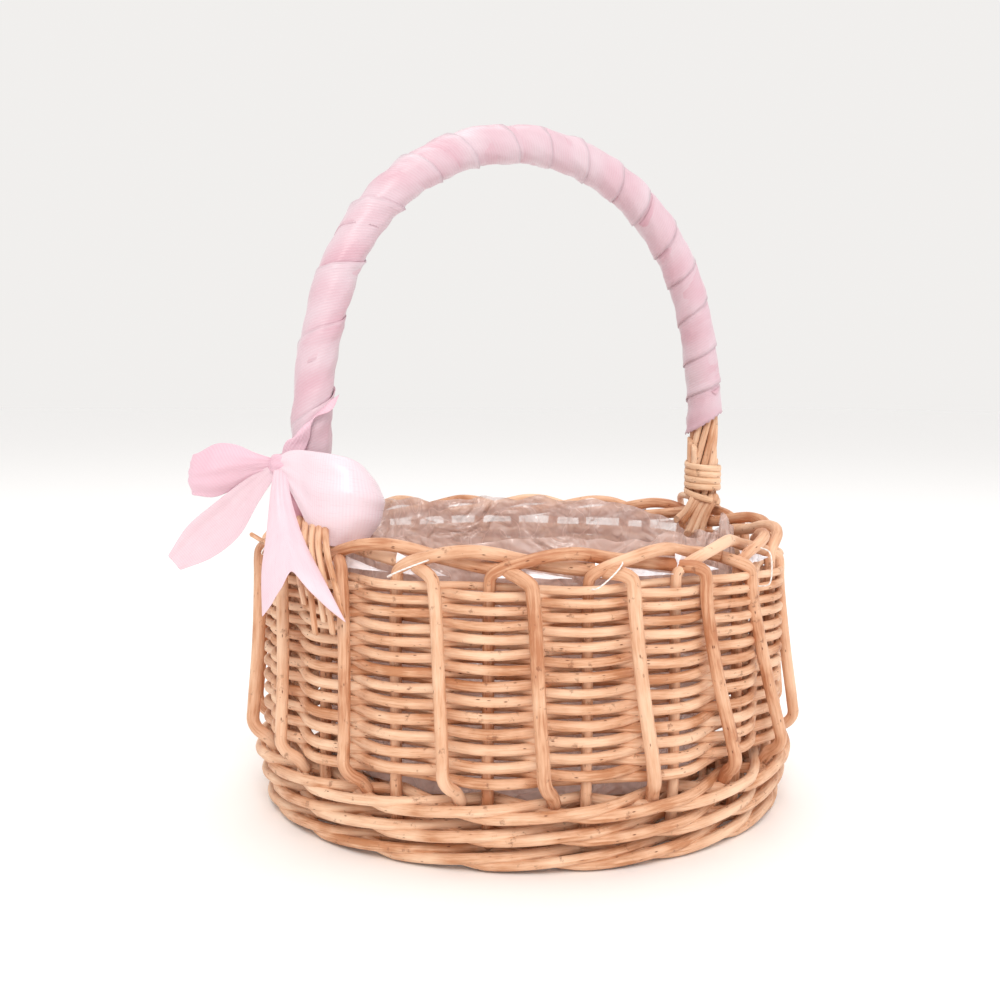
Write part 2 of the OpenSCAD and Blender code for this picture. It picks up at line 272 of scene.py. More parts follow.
@dataclass
class Rods:
    """Round rods or flat skeins swept along paths, gathered into one piece."""

    name: str
    sides: int = 10
    verts: list = field(default_factory=list)
    faces: list = field(default_factory=list)
    uvs: list = field(default_factory=list)
    tones: list = field(default_factory=list)
    count: int = 0

    def add(
        self,
        path: Points,
        radius: float | Points,
        tone: float,
        ends: Ends = Ends.ROUNDED,
        wide: float = 1.0,
        across: Points | None = None,
    ) -> None:
        """Adds one rod.

        Args:
            path: its centre line, in millimetres.
            radius: its radius, one number or one for each point of the path.
            tone: its own colour, from 0, dark, to 1, pale.
            ends: how both ends are finished.
            wide: how many times wider than thick it is.
            across: the direction of its width at each point, for a flat skein.
        """
        path = np.asarray(path, float)
        n = len(path)
        r = np.full(n, radius) if np.isscalar(radius) else np.asarray(radius, float)
        t = headings(path)
        u = carried_normals(t) if across is None else unit(across - t * np.sum(across * t, 1)[:, None])
        w = np.cross(t, u)
        if ends is Ends.ROUNDED:
            head = [(path[0] - t[0] * r[0] * d, r[0] * s, 0) for d, s in reversed(ROUNDED_RINGS)]
            tail = [(path[-1] + t[-1] * r[-1] * d, r[-1] * s, n - 1) for d, s in ROUNDED_RINGS]
        else:
            head, tail = [(path[0], r[0] * CUT_SIZE, 0)], [(path[-1], r[-1] * CUT_SIZE, n - 1)]
        rings = [*head, *[(path[k], r[k], k) for k in range(n)], *tail]
        angles = np.arange(self.sides) * 2 * math.pi / self.sides
        ca, sa = np.cos(angles)[:, None], np.sin(angles)[:, None]
        rows = [place + size * (wide * ca * u[k] + sa * w[k]) for place, size, k in rings]
        if ends is Ends.CUT:
            for row, end in ((0, 0), (1, 0), (-1, -1), (-2, -1)):
                rows[row] = rows[row] + t[end] * (CUT_SLANT * r[end]) * ca
        low_pole = rows[0].mean(0) - t[0] * r[0] * POLE_RISE
        high_pole = rows[-1].mean(0) + t[-1] * r[-1] * POLE_RISE
        poles = np.array([low_pole, high_pole])
        verts = np.concatenate([*rows, poles])
        lines = np.array([row.mean(0) for row in rows])
        along = np.r_[0.0, np.cumsum(np.linalg.norm(np.diff(lines, axis=0), axis=1))] * MM
        # Each rod starts at another place in the grain's pattern
        along = along + 0.37 * tone + 0.011 * len(self.verts)
        base, s, m = self.count, self.sides, len(rows)
        girth = 2 * math.pi * float(r.mean()) * MM * wide
        step = girth / s
        ring_faces, ring_uvs = [], []
        for k in range(m - 1):
            for i in range(s):
                j = (i + 1) % s
                a, b = base + k * s, base + (k + 1) * s
                ring_faces.append((a + i, a + j, b + j, b + i))
                v0, v1 = i * step, (i + 1) * step
                ring_uvs += [(along[k], v0), (along[k], v1), (along[k + 1], v1), (along[k + 1], v0)]
        low, high = base + m * s, base + m * s + 1
        for i in range(s):
            j = (i + 1) % s
            a = base + (m - 1) * s
            ring_faces.append((low, base + j, base + i))
            ring_faces.append((high, a + i, a + j))
            ring_uvs += [(along[0], 0.0), (along[0], step), (along[0], 0.0)]
            ring_uvs += [(along[-1], 0.0), (along[-1], 0.0), (along[-1], step)]
        self.verts.append(verts)
        self.faces += ring_faces
        self.uvs += ring_uvs
        self.tones.append(np.full(len(verts), tone))
        self.count += len(verts)

    def piece(self) -> bpy.types.Object:
        """The rods as one object.

        Returns:
            The object, linked.
        """
        made = mesh_object(
            self.name, np.concatenate(self.verts), self.faces, np.array(self.uvs), np.concatenate(self.tones)
        )
        made.data.validate()
        return made


def sheet_object(
    name: str, grid: Points, tone: Points | float, width: float, length: float
) -> bpy.types.Object:
    """A sheet from a grid of points.

    Args:
        name: the piece's name.
        grid: rows along the sheet by columns across it by three, in millimetres.
        tone: a number from 0 to 1 for the sheet or for each point.
        width: the sheet's flat width, in millimetres.
        length: its flat length.

    Returns:
        The sheet, one layer thick.
    """
    rows, cols = grid.shape[:2]
    faces, uvs = [], []
    u = np.linspace(0, length * MM, rows)
    v = np.linspace(0, width * MM, cols)
    for i in range(rows - 1):
        for j in range(cols - 1):
            a = i * cols + j
            faces.append((a, a + 1, a + cols + 1, a + cols))
            uvs += [(u[i], v[j]), (u[i], v[j + 1]), (u[i + 1], v[j + 1]), (u[i + 1], v[j])]
    tones = np.full(rows * cols, tone) if np.isscalar(tone) else np.asarray(tone).ravel()
    return mesh_object(name, grid.reshape(-1, 3), faces, np.array(uvs), tones)


# ---------------------------------------------------------------- finishes


def linear(code: str) -> tuple[float, float, float, float]:
    """An sRGB hex colour as linear red, green, blue and alpha.

    Args:
        code: the colour, as # and six digits.

    Returns:
        The four numbers.
    """
    parts = [int(code[k : k + 2], 16) / 255 for k in (1, 3, 5)]
    r, g, b = (c / 12.92 if c <= 0.04045 else ((c + 0.055) / 1.055) ** 2.4 for c in parts)
    return r, g, b, 1.0


def add_node(
    tree: bpy.types.NodeTree, kind: str, settings: dict | None = None, links: dict | None = None
) -> bpy.types.Node:
    """Adds a node to a material's tree.

    Args:
        tree: the tree.
        kind: the node's type, without the ShaderNode that each type starts with.
        settings: values for its sockets or its own properties; stops are a colour ramp's.
        links: for each socket that is fed, an output of another node, or a node for its first one.

    Returns:
        The node.
    """
    node = tree.nodes.new("ShaderNode" + kind)
    for key, value in (settings or {}).items():
        if key == "stops":
            ramp = node.color_ramp
            while len(ramp.elements) < len(value):
                ramp.elements.new(0.5)
            for element, (place, colour) in zip(ramp.elements, value):
                element.position = place
                element.color = colour if not isinstance(colour, str) else linear(colour)
        elif isinstance(key, int) or key in node.inputs:
            node.inputs[key].default_value = value
        else:
            setattr(node, key, value)
    for key, source in (links or {}).items():
        output = source.outputs[0] if isinstance(source, bpy.types.Node) else source
        tree.links.new(output, node.inputs[key])
    return node


def grey(value: float) -> tuple[float, float, float, float]:
    """A plain number as a colour ramp's stop."""
    return value, value, value, 1.0


def per_mm(size: float) -> float:
    """A texture's scale, for features of a real size in millimetres."""
    return 1 / (size * MM)


def new_material(name: str) -> tuple[bpy.types.Material, Callable[..., bpy.types.Node]]:
    """A material with an empty tree, and add_node for that tree.

    Args:
        name: its name.

    Returns:
        The material, and add_node with its tree filled in.
    """
    material = bpy.data.materials.new(name)
    material.use_nodes = True
    material.node_tree.nodes.clear()
    return material, partial(add_node, material.node_tree)


@dataclass(frozen=True)
class BuffWillow:
    """Buff willow: rods boiled in their bark, then peeled, so that the wood is dyed peach to tan.

    Peeling leaves a smooth, slightly waxy skin with fine lengthwise grain, small brown pits where
    side buds sat, scraps of bark, and a colour that drifts along each rod.
    """

    name: str
    pale: str = "#EEC6A6"
    mid: str = "#DAA885"
    dark: str = "#B97A54"
    pit: str = "#7A4022"
    grain_mm: float = 0.28
    pit_mm: float = 1.3
    scar_mm: float = 3.6
    weather_mm: float = 9.0
    drift_mm: float = 22.0
    roughness: float = 0.52

    def material(self) -> bpy.types.Material:
        """Builds the material.

        Returns:
            The material.
        """
        material, add = new_material(self.name)
        spaces = add("TexCoord").outputs
        uv, place = spaces["UV"], spaces["Object"]
        tone = add("Attribute", {"attribute_name": "tone"}).outputs["Fac"]
        # Grain: about ten times longer than it is wide
        along = add("Mapping", {"Scale": (0.09, 1.0, 1.0)}, {"Vector": uv})
        fine = {"Scale": per_mm(3 * self.grain_mm), "Detail": 3.0, "Roughness": 0.6}
        grain = add("TexNoise", fine, {"Vector": along})
        drift = add("TexNoise", {"Scale": per_mm(self.drift_mm), "Detail": 2.0}, {"Vector": uv})
        weather = add("TexNoise", {"Scale": per_mm(self.weather_mm), "Detail": 3.0}, {"Vector": place})
        # Pits: long spots, and only some of the cells have one
        cells = add("Mapping", {"Scale": (0.32, 1.0, 1.0)}, {"Vector": uv})
        pits = add("TexVoronoi", {"Scale": per_mm(self.pit_mm), "Randomness": 1.0}, {"Vector": cells})
        spot = add("ValToRGB", {"stops": [(0.06, grey(1.0)), (0.17, grey(0.0))]}, {"Fac": pits})
        draw = add("SeparateColor", {}, {"Color": pits.outputs["Color"]})
        chosen = add("Math", {"operation": "GREATER_THAN", 1: 0.62}, {0: draw})
        pit = add("Math", {"operation": "MULTIPLY"}, {0: spot, 1: chosen})
        # Scars: scraps of bark and scrapes from the peeling brake
        torn = {"Scale": per_mm(self.scar_mm), "Detail": 5.0, "Roughness": 0.66}
        scrapes = add("TexNoise", torn, {"Vector": place})
        scar = add("MapRange", {"From Min": 0.612, "From Max": 0.69, "To Max": 0.56}, {"Value": scrapes})
        pit = add("Math", {"operation": "MAXIMUM"}, {0: pit, 1: scar})
        mixed = drift
        for share, source in ((0.34, tone), (0.8, grain), (0.45, weather)):
            mixed = add("Math", {"operation": "MULTIPLY_ADD", 1: share}, {0: source, 2: mixed})
        level = add("MapRange", {"From Min": 1.02, "From Max": 1.56}, {"Value": mixed})
        stops = [(0.0, self.dark), (0.42, self.mid), (1.0, self.pale)]
        wood = add("ValToRGB", {"stops": stops}, {"Fac": level})
        colour = add("Mix", {"data_type": "RGBA", 7: linear(self.pit)}, {0: pit, 6: wood}).outputs[2]
        low, high = self.roughness - 0.1, self.roughness + 0.16
        wax = {"From Min": 0.3, "From Max": 0.7, "To Min": low, "To Max": high}
        gloss = add("MapRange", wax, {"Value": grain})
        height = add("Math", {"operation": "MULTIPLY_ADD", 1: -0.8}, {0: pit, 2: grain})
        bump = add("Bump", {"Strength": 0.7, "Distance": 0.0003}, {"Height": height})
        looks = {"Base Color": colour, "Roughness": gloss, "Normal": bump}
        shader = add("BsdfPrincipled", {"IOR": 1.5, "Specular IOR Level": 0.45}, looks)
        add("OutputMaterial", {}, {"Surface": shader})
        return material


@dataclass(frozen=True)
class SatinRibbon:
    """Satin ribbon, woven of polyester with long floats on its face.

    The face is smooth and glows along its folds; the back shows the ribs of the cross threads.
    rib_mm is drawn about twice as coarse as the real thread so that it shows.
    """

    name: str
    pale: str = "#E8D4DC"
    deep: str = "#DD9FB0"
    rib_mm: float = 0.75
    rib_depth: float = 0.00006
    thread_mm: float = 0.45
    cloud_mm: float = 7.0
    slant: float = 0.0
    ribs_along: bool = False
    roughness: float = 0.38

    def material(self) -> bpy.types.Material:
        """Builds the material.

        Returns:
            The material.
        """
        material, add = new_material(self.name)
        uv = add("TexCoord").outputs["UV"]
        tone = add("Attribute", {"attribute_name": "tone"}).outputs["Fac"]
        turned = add("Mapping", {"Rotation": (0.0, 0.0, math.radians(self.slant))}, {"Vector": uv})
        bands = {"bands_direction": "Y" if self.ribs_along else "X", "Distortion": 0.6, "Detail": 1.0}
        bands["Scale"] = WAVE_PERIOD * per_mm(self.rib_mm)
        ribs = add("TexWave", bands, {"Vector": turned}).outputs["Fac"]
        cloud = add("TexNoise", {"Scale": per_mm(self.cloud_mm), "Detail": 3.0}, {"Vector": uv})
        long_way = add("Mapping", {"Scale": (0.12, 1.0, 1.0)}, {"Vector": uv})
        threads = add("TexNoise", {"Scale": per_mm(self.thread_mm), "Detail": 2.0}, {"Vector": long_way})
        # The ribs add painted shade to the colour: deeper in the grooves between them, paler on their crowns
        mixed = tone
        for share, source in ((0.3, cloud), (0.16, ribs)):
            mixed = add("Math", {"operation": "MULTIPLY_ADD", 1: share}, {0: source, 2: mixed})
        level = add("MapRange", {"From Min": 0.2, "From Max": 1.2}, {"Value": mixed})
        colour = add("ValToRGB", {"stops": [(0.0, self.deep), (1.0, self.pale)]}, {"Fac": level})
        low, high = self.roughness - 0.07, self.roughness + 0.12
        glow = {"From Min": 0.3, "From Max": 0.7, "To Min": low, "To Max": high}
        gloss = add("MapRange", glow, {"Value": threads})
        height = add("Math", {"operation": "MULTIPLY_ADD", 1: 0.35}, {0: threads, 2: ribs})
        bump = add("Bump", {"Strength": 0.6, "Distance": self.rib_depth}, {"Height": height})
        cloth = {"IOR": 1.5, "Specular IOR Level": 0.5, "Sheen Weight": 0.25, "Sheen Roughness": 0.4}
        shader = add("BsdfPrincipled", cloth, {"Base Color": colour, "Roughness": gloss, "Normal": bump})
        add("OutputMaterial", {}, {"Surface": shader})
        return material


@dataclass(frozen=True)
class PolypropyleneFilm:
    """Biaxially stretched polypropylene film, extruded clear and crumpled by hand.

    The film is nearly clear and glossy; its creases catch the light, and along them the film is also made
    more opaque, a painted highlight, so that they show as white lines.
    """

    name: str
    tint: str = "#E6CDC5"
    alpha: float = 0.66
    roughness: float = 0.14
    crease_mm: float = 18.0
    fine_mm: float = 8.0

    def material(self) -> bpy.types.Material:
        """Builds the material.

        Returns:
            The material.
        """
        material, add = new_material(self.name)
        place = add("TexCoord").outputs["Object"]
        wide = {"Scale": per_mm(self.crease_mm), "Detail": 2.0, "Distortion": 1.4}
        creases = add("TexNoise", wide, {"Vector": place})
        small = {"Scale": per_mm(self.fine_mm), "Detail": 2.0, "Distortion": 0.9}
        fine = add("TexNoise", small, {"Vector": place})
        # A crease is a narrow band where the noise crosses its middle value
        off_middle = add("Math", {"operation": "SUBTRACT", 1: 0.5}, {0: creases})
        distance = add("Math", {"operation": "ABSOLUTE"}, {0: off_middle})
        # Painted highlight: along each crease the film is more opaque, so the crease shows as a white line
        white = {"From Max": 0.02, "To Min": self.alpha + 0.22, "To Max": self.alpha}
        line = add("MapRange", white, {"Value": distance})
        patches = {"From Min": 0.35, "From Max": 0.7, "To Min": -0.1, "To Max": 0.16}
        haze = add("MapRange", patches, {"Value": fine})
        alpha = add("Math", {"operation": "ADD", "use_clamp": True}, {0: line, 1: haze})
        height = add("Math", {"operation": "MULTIPLY_ADD", 1: 2.5}, {0: creases, 2: fine})
        bump = add("Bump", {"Strength": 0.8, "Distance": 0.0022}, {"Height": height})
        shine = {"To Min": self.roughness - 0.04, "To Max": self.roughness + 0.14}
        gloss = add("MapRange", shine, {"Value": fine})
        film = {"Base Color": linear(self.tint), "IOR": 1.49, "Specular IOR Level": 1.0}
        shader = add("BsdfPrincipled", film, {"Alpha": alpha, "Normal": bump, "Roughness": gloss})
        add("OutputMaterial", {}, {"Surface": shader})
        return material


@dataclass(frozen=True)
class SewingThread:
    """Spun white sewing thread, two plies twisted together, which gives it a soft matt rope look."""

    name: str
    tint: str = "#F7F3EF"
    shade: str = "#DDD5CF"
    ply_mm: float = 0.9

    def material(self) -> bpy.types.Material:
        """Builds the material.

        Returns:
            The material.
        """
        material, add = new_material(self.name)
        uv = add("TexCoord").outputs["UV"]
        twist = add("Mapping", {"Rotation": (0.0, 0.0, math.radians(55))}, {"Vector": uv})
        bands = {"Scale": WAVE_PERIOD * per_mm(self.ply_mm), "Distortion": 1.0}
        ply = add("TexWave", bands, {"Vector": twist}).outputs["Fac"]
        # Painted shade: the shade colour lies in the grooves between the plies, the tint on their crowns
        colour = add("ValToRGB", {"stops": [(0.0, self.shade), (0.6, self.tint)]}, {"Fac": ply})
        gloss = add("MapRange", {"To Min": 0.65, "To Max": 0.85}, {"Value": ply})
        bump = add("Bump", {"Strength": 0.5, "Distance": 0.0001}, {"Height": ply})
        shader = add("BsdfPrincipled", {}, {"Base Color": colour, "Roughness": gloss, "Normal": bump})
        add("OutputMaterial", {}, {"Surface": shader})
        return material


@dataclass(frozen=True)
class PaintedBoard:
    """Matt white painted board, rolled on, for the floor: even, with a faint roller stipple."""

    name: str
    tint: str = "#FFFFFF"
    stipple_mm: float = 3.0

    def material(self) -> bpy.types.Material:
        """Builds the material.

        Returns:
            The material.
        """
        material, add = new_material(self.name)
        place = add("TexCoord").outputs["Object"]
        stipple = add("TexNoise", {"Scale": per_mm(self.stipple_mm), "Detail": 2.0}, {"Vector": place})
        bump = add("Bump", {"Strength": 0.05, "Distance": 0.0001}, {"Height": stipple})
        paint = {"Base Color": linear(self.tint), "Roughness": 0.8}
        shader = add("BsdfPrincipled", paint, {"Normal": bump})
        add("OutputMaterial", {}, {"Surface": shader})
        return material


class Finishes:
    """Every material of the basket, made once."""

    def __init__(self) -> None:
        """Makes the materials."""
        self.stake = BuffWillow("buff_willow_stake").material()
        self.stick = BuffWillow(
            "buff_willow_stick", pale="#E4B392", mid="#CC936F", dark="#9C6849", drift_mm=30.0
        ).material()
        self.weaver = BuffWillow(
            "buff_willow_weaver", pale="#F1CCAC", mid="#DFAF8C", dark="#C0845C", drift_mm=16.0, grain_mm=0.24
        ).material()
        self.skein = BuffWillow(
            "split_willow_skein", pale="#F8D5B4", mid="#EBBE98", dark="#C99872", grain_mm=0.2, roughness=0.45
        ).material()
        self.satin_face = SatinRibbon("satin_ribbon_face", rib_depth=0.00002, roughness=0.3).material()
        self.satin_twill = SatinRibbon(
            "satin_ribbon_back", pale="#E8CED9", deep="#DEA9BB", rib_mm=0.8, rib_depth=0.00007,
            slant=38.0, roughness=0.55
        ).material()
        self.satin_wrap = SatinRibbon(
            "satin_ribbon_wound", pale="#DAC7CF", deep="#CF9DAB", rib_mm=0.8, rib_depth=0.00006,
            ribs_along=True, roughness=0.34
        ).material()
        self.film = PolypropyleneFilm("polypropylene_film").material()
        # Painted highlight: a whiter, more opaque copy of the film, for the corners pulled out over the
        # border
        self.film_painted_highlight = PolypropyleneFilm("polypropylene_film_edge", tint="#FBF6FA", alpha=0.85).material()
        self.thread = SewingThread("spun_sewing_thread").material()


def finish_piece(
    piece: bpy.types.Object, material: bpy.types.Material, nodes: Iterable[str] = ()
) -> bpy.types.Object:
    """Dresses a piece, hangs it under the basket's root and hides the CAD parts that it replaces.

    Args:
        piece: the piece.
        material: its finish.
        nodes: the CAD nodes that it replaces.

    Returns:
        The piece.
    """
    piece.data.materials.clear()
    piece.data.materials.append(material)
    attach(piece, "root")
    if nodes:
        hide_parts(*nodes)
    LOG.info("%s: %d faces", piece.name, len(piece.data.polygons))
    return piece


# ---------------------------------------------------------------- base


@dataclass
class WovenBase:
    """The round base: two sets of three sticks crossed in a slath, fanned out and woven round."""

    height: float = 6.0
    stick_radius: float = 2.0
    outer: float = 76.0
    first_round: float = 22.0
    pitch: float = 2.7
    weaver_radius: float = 1.25
    slath_half: float = 9.0

    def sticks(self, finishes: Finishes) -> None:
        """Builds the six crossing sticks.

        Args:
            finishes: the materials.
        """
        rods = Rods("base_cross_sticks", 8)
        for k in (-1, 0, 1):
            for quarter, lift in ((0, -1), (90, 1)):
                z = self.height + lift * (self.stick_radius + 0.1)
                path = [
                    polar(180 - 30 * k, self.outer, self.height),
                    polar(180 - 30 * k, self.slath_half + 14, self.height),
                    [-self.slath_half, k * 4.2, z],
                    [self.slath_half, k * 4.2, z],
                    polar(30 * k, self.slath_half + 14, self.height),
                    polar(30 * k, self.outer, self.height),
                ]
                turned = np.array(path) @ np.array(Matrix.Rotation(math.radians(quarter), 3, "Z")).T
                rods.add(smooth_path(turned, 4.0), self.stick_radius, 0.2 + 0.2 * (k + 1), Ends.CUT)
        finish_piece(rods.piece(), finishes.stick, ["base_sticks"])

    def weave(self, finishes: Finishes) -> None:
        """Builds the rounds of base weaving, over one spoke and under the next.

        Args:
            finishes: the materials.
        """
        rods = Rods("base_rand", 6)
        rounds = int((self.outer - self.first_round) / self.pitch)
        rise = self.stick_radius + self.weaver_radius - 0.2
        for k in range(rounds + 1):
            r = self.first_round + k * self.pitch
            steps = 72
            swing = [(-1) ** k * rise * math.cos(12 * math.pi * i / steps) for i in range(steps + 1)]
            path = [polar(360 * i / steps, r, self.height + z) for i, z in enumerate(swing)]
            rods.add(np.array(path), self.weaver_radius, (k * 0.37) % 1.0)
        finish_piece(rods.piece(), finishes.weaver, ["base_weave"])

    def build(self, finishes: Finishes) -> None:
        """Builds the base."""
        self.sticks(finishes)
        self.weave(finishes)


# ---------------------------------------------------------------- foot and wale


@dataclass
class Waling:
    """The three-rod wale that binds the stakes' bend: each rod passes two stakes and dives behind one.

    Three rounds of three rods. A round climbs to the next at the back of the basket.
    """

    rod_radius: float = 1.68
    rise: float = 7.45
    start_bay: float = 3.0
    rounds: int = 3
    out_low: float = 85.2
    out_high: float = 88.6
    behind_low: float = 80.6
    behind_high: float = 80.4
    samples: int = 10
    lowest: float = 3.72
    # Height within its round of the rod that is behind, of the one that comes out, and of the outer one
    layers: tuple[float, float, float] = (1.5, -2.0, 0.1)
    climb_from: float = 0.86

    def state_point(self, rod: int, m: int) -> list[float]:
        """Angle, radius and height of a rod at a whole number of stakes from the start.

        Args:
            rod: which of the three rods.
            m: how many stakes from the start.

        Returns:
            Place in bays, radius and height.
        """
        state = (rod + m) % 3
        turn, share = divmod(m / STAKES, 1.0)
        climb = (turn + ease((share - self.climb_from) / (1 - self.climb_from))) * self.rise
        up = min(climb / (2 * self.rise), 1.0)
        front = self.out_low + (self.out_high - self.out_low) * up
        back = self.behind_low + (self.behind_high - self.behind_low) * up
        radius = (back, front - 0.1, front + 0.6)[state]
        return [self.start_bay + m, radius, self.lowest + climb + self.layers[state]]

    def rod_path(self, rod: int, first: int, last: int) -> Points:
        """A rod's centre line between two whole numbers of stakes.

        Args:
            rod: which of the three rods.
            first: stakes from the start to the rod's first point.
            last: stakes from the start to its last point.

        Returns:
            The points, one row each.
        """
        bays = np.array([self.state_point(rod, m) for m in range(first, last + 1)])
        knots = np.arange(len(bays))
        fine = np.linspace(0, len(bays) - 1, self.samples * (len(bays) - 1) + 1)
        smooth = smooth_rows(bays, len(fine))
        straight = np.stack([np.interp(fine, knots, bays[:, k]) for k in range(3)], axis=1)
        rows = 0.55 * smooth + 0.45 * straight
        return np.array([polar(stake_angle(b), r, z) for b, r, z in rows])

    def build(self, finishes: Finishes) -> None:
        """Builds each round in two pieces, which stand for the lower and the upper rounds.

        Args:
            finishes: the materials.
        """
        names = [f"{kind}_round_{number}" for kind in ("foot", "wale") for number in (1, 2, 3)]
        total = STAKES * self.rounds
        part = total / len(names)
        for index, node in enumerate(names):
            rods = Rods("waling_" + node, 12)
            for rod in range(3):
                # Each length starts and ends behind a stake
                first, last = (3 * round((k * part + rod) / 3) - rod for k in (index, index + 1))
                path = self.rod_path(rod, first, last)
                seed = rod + 3 * index
                radius = self.rod_radius * (1 + wander(len(path), 0.12, seed, 0.05))
                path[:, 2] += wander(len(path), 0.5, seed + 40, 0.06)
                path[:, :2] *= 1 + wander(len(path), 0.006, seed + 80, 0.07)[:, None]
                path[:, 2] = np.maximum(path[:, 2], radius + 0.02)
                rods.add(path, radius, (rod * 0.31 + index * 0.17) % 1.0)
            finish_piece(rods.piece(), finishes.weaver, [node])


# ---------------------------------------------------------------- stakes and side


@dataclass
class Stake:
    """One side stake: up through the weave, over to the right as an upper arc of the border, behind
    two neighbours, and out and down as an outer rib whose tip goes into the wale."""

    index: int
    riser_radius: float = 1.7
    rib_radius: float = 1.95
    # Bays passed to the right, radius and height of each point that the rod goes through
    route: tuple[tuple[float, float, float], ...] = (
        (0.0, 77.9, 5.5), (0.0, 82.4, 7.2), (0.0, 84.0, 13.0), (0.0, 84.0, 50.0),
        (0.0, 83.6, 81.0), (0.015, 83.6, 84.2), (0.13, 84.2, 86.6), (0.36, 84.7, 88.9),
        (0.6, 84.3, 90.6), (0.84, 82.4, 91.0), (1.05, 80.3, 90.2), (1.35, 79.0, 88.5),
        (1.75, 78.9, 86.9), (2.04, 80.0, 86.0), (2.24, 84.0, 85.6), (2.38, 87.8, 84.9),
        (2.45, 89.1, 83.5), (2.464, 89.4, 81.4), (2.48, 89.5, 76.0), (2.53, 90.5, 52.0),
        (2.575, 92.0, 33.0), (2.583, 92.2, 28.0), (2.615, 90.7, 25.2), (2.665, 87.6, 22.8),
        (2.70, 85.6, 19.6),
    )

    def nearness(self, angle: float, spread: float) -> float:
        """How near this stake's rib is to an angle, from 0 to 1."""
        away = (stake_angle(self.index + 2.5) - angle + 180.0) % 360.0 - 180.0
        return math.exp(-((away / spread) ** 2))

    def build(self, finishes: Finishes) -> None:
        """Builds the stake.

        Args:
            finishes: the materials.
        """
        j = self.index
        offset = 0.035 * math.sin(j * 2.3)
        drop = 1.1 * math.sin(j * 1.7 + 0.6)
        points = []
        for bays, r, z in self.route:
            far = ease((bays - 1.8) / 0.6)
            # The ribs at the front right lean to the left and lie closer to the weave at their tops
            high = min(max((z - 28.0) / 45.0, 0.0), 1.0) * far
            lean = -0.4 * high * self.nearness(-56.0, 34.0)
            pulled_in = -3.4 * high * self.nearness(-30.0, 40.0)
            angle = stake_angle(j + bays + offset * far + lean)
            reach = r + pulled_in + 0.35 * math.sin(j * 3.1) * far
            shoulder = drop * 0.6 if 2.3 < bays < 2.465 else 0.0
            ripple = 0.35 * math.sin(j * 1.3 + 2 * bays) * (z > 80)
            points.append(polar(angle, reach, z + shoulder + ripple))
        path = smooth_path(points, 1.5)
        count = len(path)
        along = np.arange(count) / count
        thicker = np.clip((along - 0.35) / 0.15, 0, 1)
        radius = self.riser_radius + (self.rib_radius - self.riser_radius) * thicker
        radius = radius * (1 + 0.05 * math.sin(j * 5.3)) * (1 + wander(count, 0.07, j + 11.0, 0.03))
        stray = np.stack([wander(count, 0.45, j + s, 0.035) for s in (101.0, 141.0, 181.0)], axis=1)
        path = path + stray * np.clip((along - 0.05) * 8, 0, 1)[:, None]
        rods = Rods(f"side_stake_{j + 1:02d}", 12)
        rods.add(path, radius, (j * 0.417) % 1.0)
        finish_piece(rods.piece(), finishes.stake, [f"stake_{j + 1:02d}"])


@dataclass
class SideWeaving:
    """Randing: one thin weaver after another, in front of one stake and behind the next.

    The stakes are odd in number, so each turn swaps sides with the one below. The weavers get
    thinner, and their rows closer, towards the border.
    """

    weavers: int = 13
    turns: int = 2
    low: float = 24.0
    high: float = 81.6
    low_pitch: float = 2.5
    front: float = 3.0
    behind: float = 2.9
    middle: float = 83.9
    hollow: float = 0.9
    thickness: float = 0.655
    sway: float = 0.14
    samples: int = 9

    def height(self, turn: float) -> float:
        """Height of the weaving after a number of turns.

        Args:
            turn: how many turns from the start.

        Returns:
            The height, in millimetres.
        """
        total = self.weavers * self.turns
        mean = (self.high - self.low) / total
        bend = self.low_pitch - mean
        x = turn / total
        return self.low + turn * (mean + bend * (1 - x))

    def pitch(self, turn: float) -> float:
        """Distance between rows at a turn."""
        return self.height(turn + 0.5) - self.height(turn - 0.5)

    def weaver_path(self, first: int, last: int, seed: float) -> tuple[Points, Points]:
        """A weaver's centre line and radius between two whole numbers of stakes.

        Args:
            first: stakes from the start to the weaver's first point.
            last: stakes from the start to its last point.
            seed: a different number gives a different wander.

        Returns:
            The points, and the radius at each.
        """
        rows, radii = [], []
        steps = (last - first) * self.samples
        rough = wander(steps + 1, 0.42, seed, 0.08)
        swell = wander(steps + 1, 0.1, seed + 50, 0.03)
        for i in range(steps + 1):
            m = first + i / self.samples
            turn = m / STAKES
            swing = math.cos(math.pi * m)
            reach = self.front if swing > 0 else self.behind
            r = self.middle + swing * reach - self.hollow * math.sin(math.pi * m) ** 2
            row = int(turn * 2) * 0.7
            lean = self.sway * math.sin(math.pi * (m + 0.5) + row)
            rows.append(polar(stake_angle(m), r, self.height(turn) + lean + rough[i]))
            radii.append(self.thickness * self.pitch(turn) * (1 + swell[i]))
        return np.array(rows), np.array(radii)

    def build(self, finishes: Finishes) -> None:
        """Builds the weavers.

        Args:
            finishes: the materials.
        """
        for w in range(self.weavers):
            first, last = w * self.turns * STAKES, (w + 1) * self.turns * STAKES
            path, radius = self.weaver_path(first, last, w + 300.0)
            rods = Rods(f"side_rand_{w + 1:02d}", 10)
            rods.add(path, radius, (w * 0.29 + 0.3) % 1.0)
            finish_piece(rods.piece(), finishes.weaver, [f"side_weaver_{w + 1:02d}"])


# ---------------------------------------------------------------- handle


